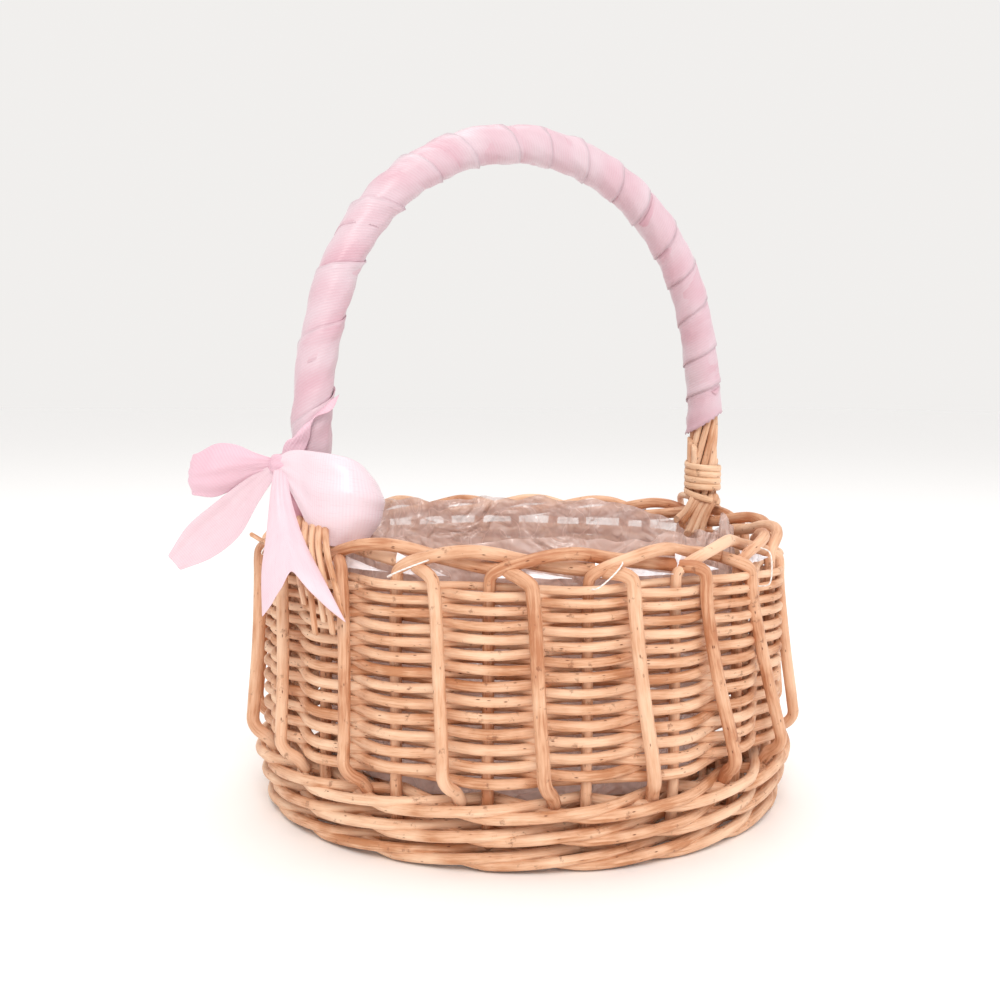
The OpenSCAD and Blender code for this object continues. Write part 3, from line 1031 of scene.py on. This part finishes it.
@dataclass
class HandleLine:
    """Centre line of the hoop: two straight legs, two wide side curves and a rounder top."""

    span: float = 77.0
    foot: float = 97.0
    leg_top: float = 121.0
    side_radius: float = 144.0
    side_sweep: float = 17.64
    top_radius: float = 73.69
    top_height: float = 142.31

    @property
    def length(self) -> float:
        """Length from foot to foot.

        Returns:
            The length, in millimetres.
        """
        side = self.side_radius * math.radians(self.side_sweep)
        top = self.top_radius * math.radians(180 - 2 * self.side_sweep)
        return 2 * (self.leg_top - self.foot + side) + top

    def at(self, s: float) -> tuple[Points, Points]:
        """The point at a length from the left foot, and the direction out of the arch there.

        Args:
            s: the length from the left foot, in millimetres.

        Returns:
            The point, and the direction.
        """
        if s > self.length / 2:
            p, out = self.at(self.length - s)
            return p * [-1, 1, 1], out * [-1, 1, 1]
        leg = self.leg_top - self.foot
        side = self.side_radius * math.radians(self.side_sweep)
        if s < leg:
            return np.array([-self.span, 0.0, self.foot + s]), np.array([-1.0, 0.0, 0.0])
        if s < leg + side:
            a = (s - leg) / self.side_radius
            out = np.array([-math.cos(a), 0.0, math.sin(a)])
            return np.array([self.side_radius - self.span, 0.0, self.leg_top]) + self.side_radius * out, out
        a = math.radians(self.side_sweep) + (s - leg - side) / self.top_radius
        out = np.array([-math.cos(a), 0.0, math.sin(a)])
        return np.array([0.0, 0.0, self.top_height]) + self.top_radius * out, out


def ring_direction(angle: float, out: Points) -> Points:
    """Direction away from the hoop's centre line, at an angle from the way out of the arch."""
    return math.cos(angle) * out + math.sin(angle) * np.array([0.0, 1.0, 0.0])


@dataclass
class TwistedHandle:
    """The hoop and the thin rods twisted round it, with their feet let into the side."""

    line: HandleLine
    hoop_radius: float = 2.3
    rods: int = 9
    rod_radius: float = 1.25
    ring: float = 4.0
    turns: float = 3.0
    inside: float = 74.3
    skein_pitch: float = 2.35
    skein_half: float = 0.42
    skein_wide: float = 2.9

    def hoop(self, finishes: Finishes) -> None:
        """Builds the thick rod at the handle's heart.

        Args:
            finishes: the materials.
        """
        line = self.line
        middle = [line.at(line.length * k / 48)[0] for k in range(49)]
        left = [[-self.inside, 0, 57], [-self.inside, 0, 80], [-self.inside - 0.8, 0, 91]]
        right = [[-x, y, z] for x, y, z in reversed(left)]
        rods = Rods("handle_hoop_rod", 12)
        rods.add(smooth_path([*left, *middle, *right], 3.0), self.hoop_radius, 0.3, Ends.CUT)
        finish_piece(rods.piece(), finishes.stick, ["handle_hoop"])

    def left_foot(self, k: int) -> list[list[float]]:
        """Where a rod goes below the left end of the wound part, from its tip upwards.

        Args:
            k: the rod's number.

        Returns:
            The points.
        """
        # Angle, radius and height
        feet = {
            0: [(-153.6, 94.8, 72), (-155.0, 94.9, 80), (-157.6, 93.6, 88.5), (-163, 86.8, 94.0)],
            1: [(-155.6, 95.2, 67), (-157.0, 95.0, 78), (-159.6, 93.8, 88.8), (-164.4, 87.4, 94.4)],
            2: [(-157.6, 95.2, 70), (-159.0, 95.0, 79), (-161.6, 93.6, 89), (-166, 88.0, 94.8)],
            3: [(-159.8, 95.2, 66), (-161.2, 94.9, 78), (-163.8, 93.4, 89.2), (-168, 88.4, 95.2)],
            4: [(-162.6, 95.2, 74), (-164.0, 94.9, 80), (-166.4, 93.4, 89.4), (-170, 88.8, 95.6)],
            5: [(174.0, 76.0, 70), (175.0, 76.4, 84), (177.0, 78.0, 93)],
        }
        if k in feet:
            return [polar(*p) for p in feet[k]]
        side = (-5.0, 5.2, 3.0)[k - 6]
        return [[-73.6 + 0.4 * k, side, 72], [-73.8, side, 84], [-74.6, side * 0.8, 92]]

    def right_foot(self, k: int) -> list[list[float]]:
        """Where a rod goes below the right end of the wound part, from the top down to its tip.

        Args:
            k: the rod's number.

        Returns:
            The points.
        """
        # Five rods end in front of the leg, side by side
        place = {8: -3.9, 0: -2.0, 1: 0.3, 2: 2.5, 3: 4.4}.get(k)
        if place is not None:
            near, right = np.array(TO_THE_FRONT), np.array(TO_THE_RIGHT)
            leg = np.array([self.line.span, 0.0, 0.0])
            tip = 84.5 - 0.9 * place - 1.6 * (k % 2)
            steps = ((4.6, 0.0, 96.5), (4.8, -2.6, 91.5), (4.4, -6.2, tip))
            return [
                list(leg + reach * near + (place + shift) * right + np.array([0.0, 0.0, z]))
                for reach, shift, z in steps
            ]
        t = (k - 4) * 3.4
        # The rest fan out over the border
        return [
            polar(4.0 + t, 86.0, 94.4), polar(4.5 + 1.25 * t, 93.4, 88),
            polar(5.0 + 1.35 * t, 94.8, 76), polar(5.4 + 1.4 * t, 95.2, 62),
        ]

    def twisted(self, finishes: Finishes) -> None:
        """Builds the twisted rods, from the tips at one foot to the tips at the other.

        Args:
            finishes: the materials.
        """
        rods = Rods("handle_twisted_rods", 8)
        line = self.line
        for k in range(self.rods):
            start = 200 + k * 360 / self.rods
            rows = self.left_foot(k)
            steps = 96
            for i in range(steps + 1):
                s = line.length * i / steps
                centre, out = line.at(s)
                a = math.radians(start - 360 * self.turns * i / steps)
                rows.append(centre + self.ring * ring_direction(a, out))
            rows += self.right_foot(k)
            path = smooth_path(rows, 2.2)
            radius = self.rod_radius * (1 + wander(len(path), 0.08, k + 70.0, 0.05))
            # A rod thins out towards its tip
            radius = radius * np.array([0.74 + 0.26 * ease((i - 6) / 22) for i in range(len(path))])
            rods.add(path, radius, (k * 0.41 + 0.1) % 1.0, Ends.CUT)
        # Two short rods, cut off above the right binding
        for y, top, tone in ((-1.9, 115.0, 0.7), (0.6, 117.6, 0.45)):
            cut = [[71.3, y, top], [71.5, y + 0.2, 110.0], [72.0, y + 0.3, 101.0]]
            rods.add(smooth_path(cut, 2.0), self.rod_radius * 0.9, tone, Ends.CUT)
        # One loose tip that sticks out beside the bow
        tip = [polar(-176.4, 86.4, 85.4), polar(-177.6, 92.0, 87.9), polar(-178.6, 97.4, 91.4)]
        rods.add(smooth_path(tip, 2.0), self.rod_radius * 0.55, 0.02, Ends.CUT)
        nodes = [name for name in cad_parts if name.startswith("handle_rod")]
        finish_piece(rods.piece(), finishes.weaver, nodes)

    def binding(self, name: str, node: str, side: int, turns: int, top: float, finishes: Finishes) -> None:
        """Builds the flat split-willow binding round the rods of one leg.

        Args:
            name: the piece's name.
            node: the CAD node that it replaces.
            side: -1 for the left leg, 1 for the right.
            turns: how many turns it has.
            top: height of its highest turn.
            finishes: the materials.
        """
        rods = Rods(name, 8)
        samples = 36
        rows = []
        for i in range(int(turns * samples) + 1):
            a = 2 * math.pi * i / samples
            r = self.ring + self.rod_radius + 1.35 + 0.3 * math.sin(2.0 * a + 0.7)
            z = top - self.skein_pitch * i / samples + 0.35 * math.sin(a * 1.03)
            # The last turn sags
            sag = 3.4 * ease((i / samples - turns + 1.1) / 1.1) * (0.5 + 0.5 * math.cos(a + math.pi * 0.3))
            rows.append([side * self.line.span + r * math.cos(a), r * math.sin(a), z - sag])
        upright = np.tile([0.0, 0.0, 1.0], (len(rows), 1))
        rods.add(np.array(rows), self.skein_half, 0.75, Ends.ROUNDED, self.skein_wide, upright)
        finish_piece(rods.piece(), finishes.skein, [node])

    def build(self, finishes: Finishes) -> None:
        """Builds the handle's willow.

        Args:
            finishes: the materials.
        """
        self.hoop(finishes)
        self.twisted(finishes)
        self.binding("skein_binding_left", "binding_left", -1, 2, 103.0, finishes)
        self.binding("skein_binding_right", "binding_right", 1, 5, 109.2, finishes)


@dataclass
class RibbonWrap:
    """The ribbon wound round the handle, each turn lapped over the one before."""

    line: HandleLine
    width: float = 25.0
    wide_pitch: float = 22.5
    close_pitch: float = 14.5
    radius: float = 5.5
    first: float = 8.5
    last: float = 292.0
    thickness: float = 0.22
    lap_rise: float = 0.5
    edge_rise: float = 0.28
    long_crease: float = 0.75
    fine_crease: float = 0.3
    rod_print: float = 0.14
    rods: int = 9

    def centres(self, per_turn: int) -> list[float]:
        """Lengths along the handle of the strip's middle, wide apart at the left leg and closer after.

        Args:
            per_turn: samples in each turn.

        Returns:
            The lengths, in millimetres.
        """
        places, s, step = [], self.first + 3.0, 0
        while s < self.last + 5.0:
            places.append(s)
            share = ease((s - 60.0) / 90.0)
            pitch = self.wide_pitch + (self.close_pitch - self.wide_pitch) * share
            pitch *= 1 + 0.16 * math.sin(step / per_turn * 2.4)
            s += pitch / per_turn
            step += 1
        return places

    def build(self, finishes: Finishes) -> None:
        """Builds the wound strip.

        Args:
            finishes: the materials.
        """
        per_turn, across = 44, 16
        places = self.centres(per_turn)
        rows = len(places)
        grid = np.zeros((rows, across + 1, 3))
        shade = np.zeros((rows, across + 1))
        half = self.width / 2
        for i, centre_s in enumerate(places):
            turn = i / per_turn
            for j in range(across + 1):
                v = (j / across * 2 - 1) * half
                a = -2 * math.pi * turn + v * 0.07
                # The right end is cut on the slant, and frays a little
                limit = self.last + 4.0 + 4.2 * math.cos(a - 2.6) + 0.35 * math.sin(i * 2.9)
                low, high = max(centre_s - half, self.first), min(centre_s + half, limit)
                s = low + (high - low) * j / across
                # The strip's later edge lies on the turn before
                lap = (j / across) ** 2 * self.lap_rise + self.edge_rise * ease((j - across + 1.5) / 1.5)
                long_way = noise.noise((turn * 1.3 + v * 0.12, v * 0.16 - turn * 0.7, 3.1))
                short_way = abs(noise.noise((turn * 5.0 - v * 0.25, v * 0.3, 8.2)))
                # The twisted rods under the ribbon show through it a little
                under = math.cos(self.rods * (a + 6 * math.pi * s / self.line.length))
                centre, out = self.line.at(s)
                r = self.radius + 0.3 + lap + self.long_crease * long_way
                r = r - self.fine_crease * short_way + self.rod_print * under
                grid[i, j] = centre + r * ring_direction(a, out)
                # Painted shade: each turn is deeper towards its low edge, which lies under the neighbouring
                # turn, and paler towards its raised edge
                shade[i, j] = 0.4 + 0.25 * (j / across) + 0.55 * noise.noise((turn * 2.2, v * 0.13, 5.0))
        gaps = np.linalg.norm(np.diff(grid[:, across // 2], axis=0), axis=1)
        length = float(gaps.sum())
        piece = sheet_object("handle_ribbon", grid, shade, self.width, length)
        thicken(piece, self.thickness)
        finish_piece(piece, finishes.satin_wrap, ["ribbon_wrap"])


# ---------------------------------------------------------------- bow


@dataclass
class Bow:
    """The bow at the left foot: knot, two loops and two tails, cut from the same ribbon."""

    knot: tuple[float, float, float] = (-89.3, -2.6, 112.6)
    thickness: float = 0.25
    width: float = 25.0

    def loft(
        self,
        name: str,
        spine: Sequence[Sequence[float]],
        spread: Sequence[Sequence[float]],
        puff: Sequence[float],
        rows: int = 56,
        across: int = 16,
        ripple: float = 0.35,
        seed: float = 1.0,
    ) -> Points:
        """A ribbon's surface from a few sections.

        Args:
            name: what it is, for the log.
            spine: the middle of each section, in millimetres.
            spread: from the middle to the ribbon's far edge at each section.
            puff: how far each section's middle stands proud of its edges.
            rows: samples along.
            across: samples across.
            ripple: size of the small creases.
            seed: a different number gives different creases.

        Returns:
            The grid of points.
        """
        line = resample(smooth_path(spine, 0.8), rows)
        reach = smooth_rows(spread, rows)
        bulge = smooth_rows([[p, 0, 0] for p in puff], rows)[:, 0]
        t = headings(line)
        face = unit(np.cross(t, unit(reach)))
        grid = np.zeros((rows, across + 1, 3))
        for j in range(across + 1):
            v = j / across * 2 - 1
            arch = bulge * (1 - v * v)
            crease = np.array([ripple * noise.noise((i * 0.035, v * 3.2, seed)) for i in range(rows)])
            grid[:, j] = line + v * reach + (arch + crease)[:, None] * face
        length = np.linalg.norm(np.diff(line, axis=0), axis=1).sum()
        LOG.info("%s: %.0f mm along its middle", name, float(length))
        return grid

    def sheet(
        self, name: str, node: str, grid: Points, shade: float, material: bpy.types.Material,
        flat: tuple[float, float],
    ) -> bpy.types.Object:
        """Makes one part of the bow.

        Args:
            name: the piece's name.
            node: the CAD node that it replaces, or nothing.
            grid: its surface.
            shade: its colour, from 0, deep, to 1, pale.
            material: its finish.
            flat: its cut width and length, in millimetres.

        Returns:
            The piece.
        """
        piece = sheet_object(name, grid, shade, flat[0], flat[1])
        thicken(piece, self.thickness)
        apply_modifier(piece, "SUBSURF", {"levels": 1, "render_levels": 1})
        finish_piece(piece, material, [node] if node else [])
        return piece

    def build(self, finishes: Finishes) -> None:
        """Builds the bow.

        Args:
            finishes: the materials.
        """
        k = np.array(self.knot)
        self.right_loop(k, finishes)
        self.left_loop(k, finishes)
        self.left_tail(k, finishes)
        self.front_tail(k, finishes)
        self.knot_band(k, finishes)
        self.twisted_end(k, finishes)

    def twisted_end(self, k: Points, finishes: Finishes) -> None:
        """The narrow, twisted end that comes down from the wound part into the knot.

        Args:
            k: the knot's middle, in millimetres.
            finishes: the materials.
        """
        spine = [
            [-73.6, -5.4, 131.0], [-77.6, -6.9, 126.0], [-82.4, -6.2, 122.4], [-84.0, -4.6, 118.4],
            [-85.2, -4.4, 115.6], k + [0.0, -0.6, 0.4],
        ]
        spread = [
            [3.4, -0.6, 2.6], [3.0, -1.6, 2.4], [1.6, -1.2, 3.2], [3.2, -1.4, 0.8], [2.8, -2.0, 0.4],
            [1.8, -1.4, 1.2],
        ]
        grid = self.loft(
            "twisted end", spine, spread, [0.4, 1.0, 1.2, 1.2, 1.0, 0.6], rows=48, ripple=0.9, seed=14.0
        )
        self.sheet("bow_twisted_end", "", grid, 0.5, finishes.satin_twill, (10.0, 26.0))

    def right_loop(self, k: Points, finishes: Finishes) -> None:
        """The full, puffed loop at the right, which folds over at its far end and comes back.

        Args:
            k: the knot's middle, in millimetres.
            finishes: the materials.
        """
        # Each row: to the right, towards the front, up; then half the width there, and how far it puffs
        rows = np.array([
            (-0.3, 1.2, -0.6, 2.0, 0.3), (4.2, 5.0, -1.2, 5.8, 0.8), (8.6, 8.4, -4.2, 9.6, 0.4),
            (13.6, 11.6, -8.4, 13.2, 1.4), (19.2, 12.8, -9.8, 13.8, 3.2), (24.6, 11.6, -10.6, 12.6, 4.6),
            (28.0, 7.6, -12.0, 10.0, 5.0), (27.0, 3.4, -12.6, 9.0, 3.4), (20.6, 1.8, -14.4, 9.0, 1.6),
            (12.4, 3.6, -14.6, 7.6, 0.8), (6.8, 4.0, -11.6, 5.8, 0.6), (1.6, 1.6, -4.4, 2.2, 0.0),
        ])
        spine = k + rows[:, :3] @ np.array([TO_THE_RIGHT, TO_THE_FRONT, (0.0, 0.0, 1.0)])
        spread = np.outer(rows[:, 3], [0.077, 0.13, 0.97])
        puff = rows[:, 4]
        count = 84
        grid = self.loft("right loop", spine, spread, puff, rows=count, ripple=0.7, seed=2.0)
        # Pale outside; painted shade inside the loop, deep where the ribbon turns its inner side to the
        # front
        painted_inner_shade = np.array([ease((i / (count - 1) - 0.56) / 0.1) for i in range(count)])
        shade = np.repeat(0.95 - 0.85 * painted_inner_shade[:, None], grid.shape[1], axis=1)
        self.sheet("bow_loop_full", "bow_loop_right", grid, shade, finishes.satin_face, (self.width, 68.0))

    def left_loop(self, k: Points, finishes: Finishes) -> None:
        """The flatter loop at the left, seen from the ribbon's ribbed back.

        Args:
            k: the knot's middle, in millimetres.
            finishes: the materials.
        """
        spine = k + np.array([
            (-0.8, 0.5, -0.2), (-6.5, 4.0, -0.4), (-12.5, 8.8, -1.6), (-17.6, 13.0, -3.0),
            (-20.4, 15.8, -3.8), (-20.6, 17.2, -3.8), (-17.6, 16.4, -3.4), (-11.0, 11.6, -2.2),
            (-3.2, 4.0, -0.6),
        ])
        spread = [
            [-0.2, -0.4, 1.8], [-0.3, -1.4, 3.6], [-0.6, -2.2, 6.8], [-0.4, -2.0, 8.2], [0.2, -1.2, 6.6],
            [0.4, -0.8, 5.6], [0.0, -0.4, 6.2], [-0.2, 0.0, 6.0], [-0.2, 0.0, 2.2],
        ]
        puff = [0.0, -1.4, -2.8, -3.0, -1.8, -1.0, 0.4, 0.4, 0.0]
        grid = self.loft("left loop", spine, spread, puff, rows=70, ripple=1.1, seed=5.0)
        self.sheet("bow_loop_flat", "bow_loop_left", grid, 0.45, finishes.satin_twill, (16.0, 46.0))

    def left_tail(self, k: Points, finishes: Finishes) -> None:
        """The tail that hangs to the left, folded along its length so that it ends in a point.

        Args:
            k: the knot's middle, in millimetres.
            finishes: the materials.
        """
        spine = k + np.array([
            (-1.5, 0.6, -2.2), (-6.6, 5.0, -8.6), (-12.4, 10.4, -17.4), (-19.0, 16.4, -24.6),
            (-25.6, 22.4, -31.6),
        ])
        across = np.array([-0.53, 0.41, 0.74])
        spread = [across * w for w in (2.0, 4.4, 6.4, 6.2, 3.0)]
        puff = [0.2, 1.2, 1.8, 1.4, 0.3]
        grid = self.loft("left tail", spine, spread, puff, rows=44, ripple=0.5, seed=8.0)
        self.sheet("bow_tail_pointed", "bow_tail_left", grid, 0.75, finishes.satin_face, (14.0, 46.0))

    def front_tail(self, k: Points, finishes: Finishes) -> None:
        """The tail that hangs in front, wider towards its end, which is cut in a V.

        Args:
            k: the knot's middle, in millimetres.
            finishes: the materials.
        """
        spine = k + np.array([
            (-0.4, -4.0, -1.6), (-2.8, -10.6, -9.0), (-5.2, -20.0, -18.0), (-6.6, -30.0, -29.0),
            (-6.2, -38.0, -41.5),
        ])
        spread = [
            [1.6, -1.2, 0.2], [2.9, -2.0, -0.2], [5.0, -2.6, -0.8], [7.6, -5.2, -1.0], [9.6, -7.6, -0.4],
        ]
        puff = [0.5, 1.6, 2.0, 1.4, 0.3]
        rows, samples, notch = 52, 400, 15.5
        grid = self.loft("front tail", spine, spread, puff, rows=rows, seed=11.0)
        across = grid.shape[1] - 1
        for j in range(across + 1):
            depth = (1 - abs(j / across * 2 - 1)) * notch
            length = float(np.linalg.norm(np.diff(grid[:, j], axis=0), axis=1).sum())
            keep = (length - depth + 0.25 * math.sin(j * 4.1)) / length
            column = resample(grid[:, j], samples)
            grid[:, j] = resample(column[: max(2, int(samples * keep))], rows)
        self.sheet(
            "bow_tail_notched", "bow_tail_front", grid, 0.68, finishes.satin_face, (self.width, 50.0)
        )

    def knot_band(self, k: Points, finishes: Finishes) -> None:
        """The band that ties the bow, pulled tight over its waist and round the handle's leg.

        Args:
            k: the knot's middle, in millimetres.
            finishes: the materials.
        """
        leg = np.array([-77.0, 0.0, 112.2])
        steps, count, across = 32, 64, 10
        rows = []
        for i in range(steps + 1):
            a = math.pi + 2 * math.pi * i / steps
            # The band stands away from the leg only where the bow's waist is under it
            near = 0.5 + 0.5 * math.cos(a - math.radians(190))
            r = 6.6 + 6.6 * near**7
            rows.append(leg + [r * math.cos(a), r * math.sin(a) - 1.4 * near, 0.3 * math.sin(a)])
        line = resample(np.array(rows), count)
        grid = np.zeros((count, across + 1, 3))
        for i in range(count):
            near = ease((-line[i, 0] - 80) / 8)
            half = 2.3 + 0.9 * near
            out = unit(line[i] - leg)
            for j in range(across + 1):
                v = j / across * 2 - 1
                arch = 1.6 * near * (1 - v * v) + 0.3 * math.sin(3.4 * math.pi * v + i * 0.09)
                grid[i, j] = line[i] + out * arch + [0.0, 0.0, v * half * (1 + 0.1 * math.sin(i * 0.4))]
        self.sheet("bow_knot_band", "bow_knot", grid, 0.35, finishes.satin_twill, (10.0, 38.0))


# ---------------------------------------------------------------- liner


@dataclass
class Liner:
    """The clear film that lines the basket, gathered in and crumpled, sewn on with white thread."""

    floor: float = 12.2
    rim: float = 92.6
    floor_radius: float = 62.0
    wall_radius: float = 70.3
    cut_diameter: float = 285.0
    pattern_side: float = 300.0
    floor_share: float = 0.42
    gathers: int = 31
    # Each stitch's angle, how far round it goes in degrees, and how far down
    stitch_places: tuple[tuple[float, float, float], ...] = (
        (-147.0, 8.0, 1.6), (-109.0, 6.4, 3.4), (-66.0, 1.4, 7.6), (-10.0, 3.0, 4.0),
        (40.0, 7.0, 2.0), (85.0, 6.0, 3.0), (130.0, 4.0, 5.0), (172.0, 7.0, 2.0),
    )

    def film(self, finishes: Finishes) -> None:
        """Builds the film as one gathered sheet.

        Args:
            finishes: the materials.
        """
        around, up = 240, 64
        grid = np.zeros((up + 1, around + 1, 3))
        for i in range(up + 1):
            x = i / up
            for j in range(around + 1):
                a = 2 * math.pi * (j % around) / around
                if x < self.floor_share:
                    r = self.floor_radius * x / self.floor_share
                    z = self.floor + 0.4
                else:
                    s = (x - self.floor_share) / (1 - self.floor_share)
                    r = self.floor_radius + (self.wall_radius - self.floor_radius) * ease(s * 2.2)
                    z = self.floor + (self.rim - self.floor) * s
                wall = ease((x - 0.2) / 0.4)
                gather = wall * math.sin(self.gathers * a + 2.2 * math.sin(5 * a) + 3 * x)
                p = (r * math.cos(a) * 0.045, r * math.sin(a) * 0.045, z * 0.05)
                crumple = 2.6 * noise.noise(p) + 1.5 * abs(noise.noise([q * 3.1 for q in p]))
                turn = (math.degrees(a) + 180.0) % 360.0 - 180.0
                # Low beside the right foot, with one corner that stands up next to it
                corner = math.exp(-(((turn + 57.0) / 4.5) ** 2))
                dip = math.exp(-(((turn + 4.0) / 24.0) ** 2))
                shaped = 5.5 * corner - 8.5 * dip
                edge = ease((x - 0.7) / 0.3) * (2.5 * noise.noise((a * 9.0, 0.3, 2.0)) + shaped)
                reach = r + min(gather + crumple * wall, 1.0)
                height = z + abs(crumple) * (1 - wall) + edge
                grid[i, j] = [reach * math.cos(a), reach * math.sin(a), height]
        piece = sheet_object("liner_film_sheet", grid, 0.5, self.pattern_side, self.pattern_side)
        apply_modifier(piece, "WELD", {"merge_threshold": 0.00002})
        finish_piece(piece, finishes.film, ["liner"])

    def flaps(self, finishes: Finishes) -> None:
        """Builds the corners of film that are pulled out between the border and the top weaver.

        Args:
            finishes: the materials.
        """
        along, up = 14, 4
        grids = []
        for bay in range(STAKES):
            # How much of the bay the corner fills, where it starts, and how far it stands up
            reach = 0.74 + 0.16 * math.sin(bay * 2.1)
            start = 0.04 + 0.05 * math.sin(bay * 4.4)
            tall = 4.6 + 1.2 * math.sin(bay * 1.9)
            grid = np.zeros((along + 1, up + 1, 3))
            for i in range(along + 1):
                x = i / along
                for j in range(up + 1):
                    z = 83.9 + (1 - x) * tall * (j / up) + 0.3 * noise.noise((bay * 3.0, x * 5, j * 0.8))
                    r = 84.6 - 1.4 * (1 - x) * (j / up) + 0.7 * noise.noise((bay * 5.0, x * 4, j * 1.2))
                    grid[i, j] = polar(stake_angle(bay + start + reach * x), r, z)
            grids.append(grid)
        pieces = [sheet_object(f"flap_{n}", g, 0.5, 4.0, 20.0) for n, g in enumerate(grids)]
        select_only(pieces[0])
        for piece in pieces:
            piece.select_set(True)
        bpy.ops.object.join()
        pieces[0].name = "liner_film_corners"
        # The corners wear the whiter copy of the film, a painted highlight
        finish_piece(pieces[0], finishes.film_painted_highlight)

    def stitches(self, finishes: Finishes) -> None:
        """Builds the thread: long stitches that go round the border and through the film.

        Args:
            finishes: the materials.
        """
        rods = Rods("liner_stitches", 6)
        for a, along, drop in self.stitch_places:
            stitch = [
                polar(a + along, 82.0, 88.6), polar(a + along, 86.2, 88.4),
                polar(a + 0.8 * along, 89.4, 87.4),
                polar(a + 0.5 * along, 90.6, 86.6 - 0.5 * drop), polar(a + 0.15 * along, 90.2, 85.4 - drop),
                polar(a, 87.0, 84.6 - drop), polar(a, 82.0, 84.8 - drop),
            ]
            rods.add(smooth_path(stitch, 1.2), 0.24, 0.8)
        finish_piece(rods.piece(), finishes.thread, ["liner_thread"])

    def build(self, finishes: Finishes) -> None:
        """Builds the liner.

        Args:
            finishes: the materials.
        """
        self.film(finishes)
        self.flaps(finishes)
        self.stitches(finishes)


# ---------------------------------------------------------------- studio


@dataclass
class Studio:
    """Plain pale floor, soft lights and the camera."""

    azimuth: float = -31.0
    elevation: float = 6.3
    distance: float = 430.0
    target: float = 90.0
    roll: float = 0.6
    lens: float = 45.2
    shift: tuple[float, float] = (-0.025, 0.023)

    def floor(self) -> None:
        """Adds the floor, large enough to fill the view."""
        bpy.ops.object.select_all(action="DESELECT")
        bpy.ops.mesh.primitive_plane_add(size=1.0, location=(0.0, 0.0, -0.0004))
        plane = bpy.context.active_object
        plane.name = "studio_floor"
        bpy.ops.object.mode_set(mode="EDIT")
        bpy.ops.mesh.select_all(action="SELECT")
        bpy.ops.transform.resize(value=(12.0, 12.0, 1.0))
        bpy.ops.object.mode_set(mode="OBJECT")
        bpy.ops.object.transform_apply(location=True, rotation=True, scale=True)
        plane.data.materials.append(PaintedBoard("matt_white_board").material())

    def light(self, name: str, place: Sequence[float], size: float, watts: float, tint: str) -> None:
        """Adds a square area light that points at the basket.

        Args:
            name: its name.
            place: where it stands, in metres.
            size: its side, in metres.
            watts: its power.
            tint: its colour.
        """
        data = bpy.data.lights.new(name, "AREA")
        data.shape, data.size, data.energy, data.color = "SQUARE", size, watts, linear(tint)[:3]
        lamp = bpy.data.objects.new(name, data)
        lamp.location = place
        lamp.rotation_mode = "QUATERNION"
        lamp.rotation_quaternion = (Vector((0, 0, 0.1)) - Vector(place)).to_track_quat("-Z", "Y")
        bpy.context.scene.collection.objects.link(lamp)

    def camera(self) -> None:
        """Adds the camera."""
        a, e = math.radians(self.azimuth), math.radians(self.elevation)
        back = Vector((math.sin(a) * math.cos(e), -math.cos(a) * math.cos(e), math.sin(e)))
        data = bpy.data.cameras.new("camera")
        data.lens, data.sensor_width = self.lens, 36.0
        data.shift_x, data.shift_y = self.shift
        data.clip_start, data.clip_end = 0.01, 50.0
        camera = bpy.data.objects.new("camera", data)
        camera.location = Vector((0, 0, self.target * MM)) + back * (self.distance * MM)
        camera.rotation_mode = "QUATERNION"
        turn = (-back).to_track_quat("-Z", "Y")
        camera.rotation_quaternion = turn @ Matrix.Rotation(math.radians(self.roll), 3, "Z").to_quaternion()
        bpy.context.scene.collection.objects.link(camera)
        bpy.context.scene.camera = camera

    def build(self) -> None:
        """Builds the studio."""
        scene = bpy.context.scene
        scene.view_settings.view_transform = "Standard"
        world = bpy.data.worlds.new("studio_world")
        world.use_nodes = True
        background = world.node_tree.nodes["Background"]
        background.inputs["Color"].default_value = linear("#FFFDFB")
        background.inputs["Strength"].default_value = 0.88
        scene.world = world
        self.floor()
        self.light("key", (-0.55, -1.0, 1.1), 0.6, 8.6, "#FFF8F2")
        self.light("fill", (0.9, -0.9, 0.6), 0.9, 1.6, "#F7F6FF")
        self.light("top", (0.1, 0.3, 1.4), 0.9, 4.5, "#FFFFFF")
        self.camera()


# ---------------------------------------------------------------- main


def main() -> None:
    """Builds the basket and the studio."""
    logging.basicConfig(level=logging.INFO, format="%(name)s %(message)s")
    finishes = Finishes()
    Studio().build()
    WovenBase().build(finishes)
    Waling().build(finishes)
    for index in range(STAKES):
        Stake(index).build(finishes)
    SideWeaving().build(finishes)
    line = HandleLine()
    TwistedHandle(line).build(finishes)
    RibbonWrap(line).build(finishes)
    Bow().build(finishes)
    Liner().build(finishes)


if __name__ == "__main__":
    main()
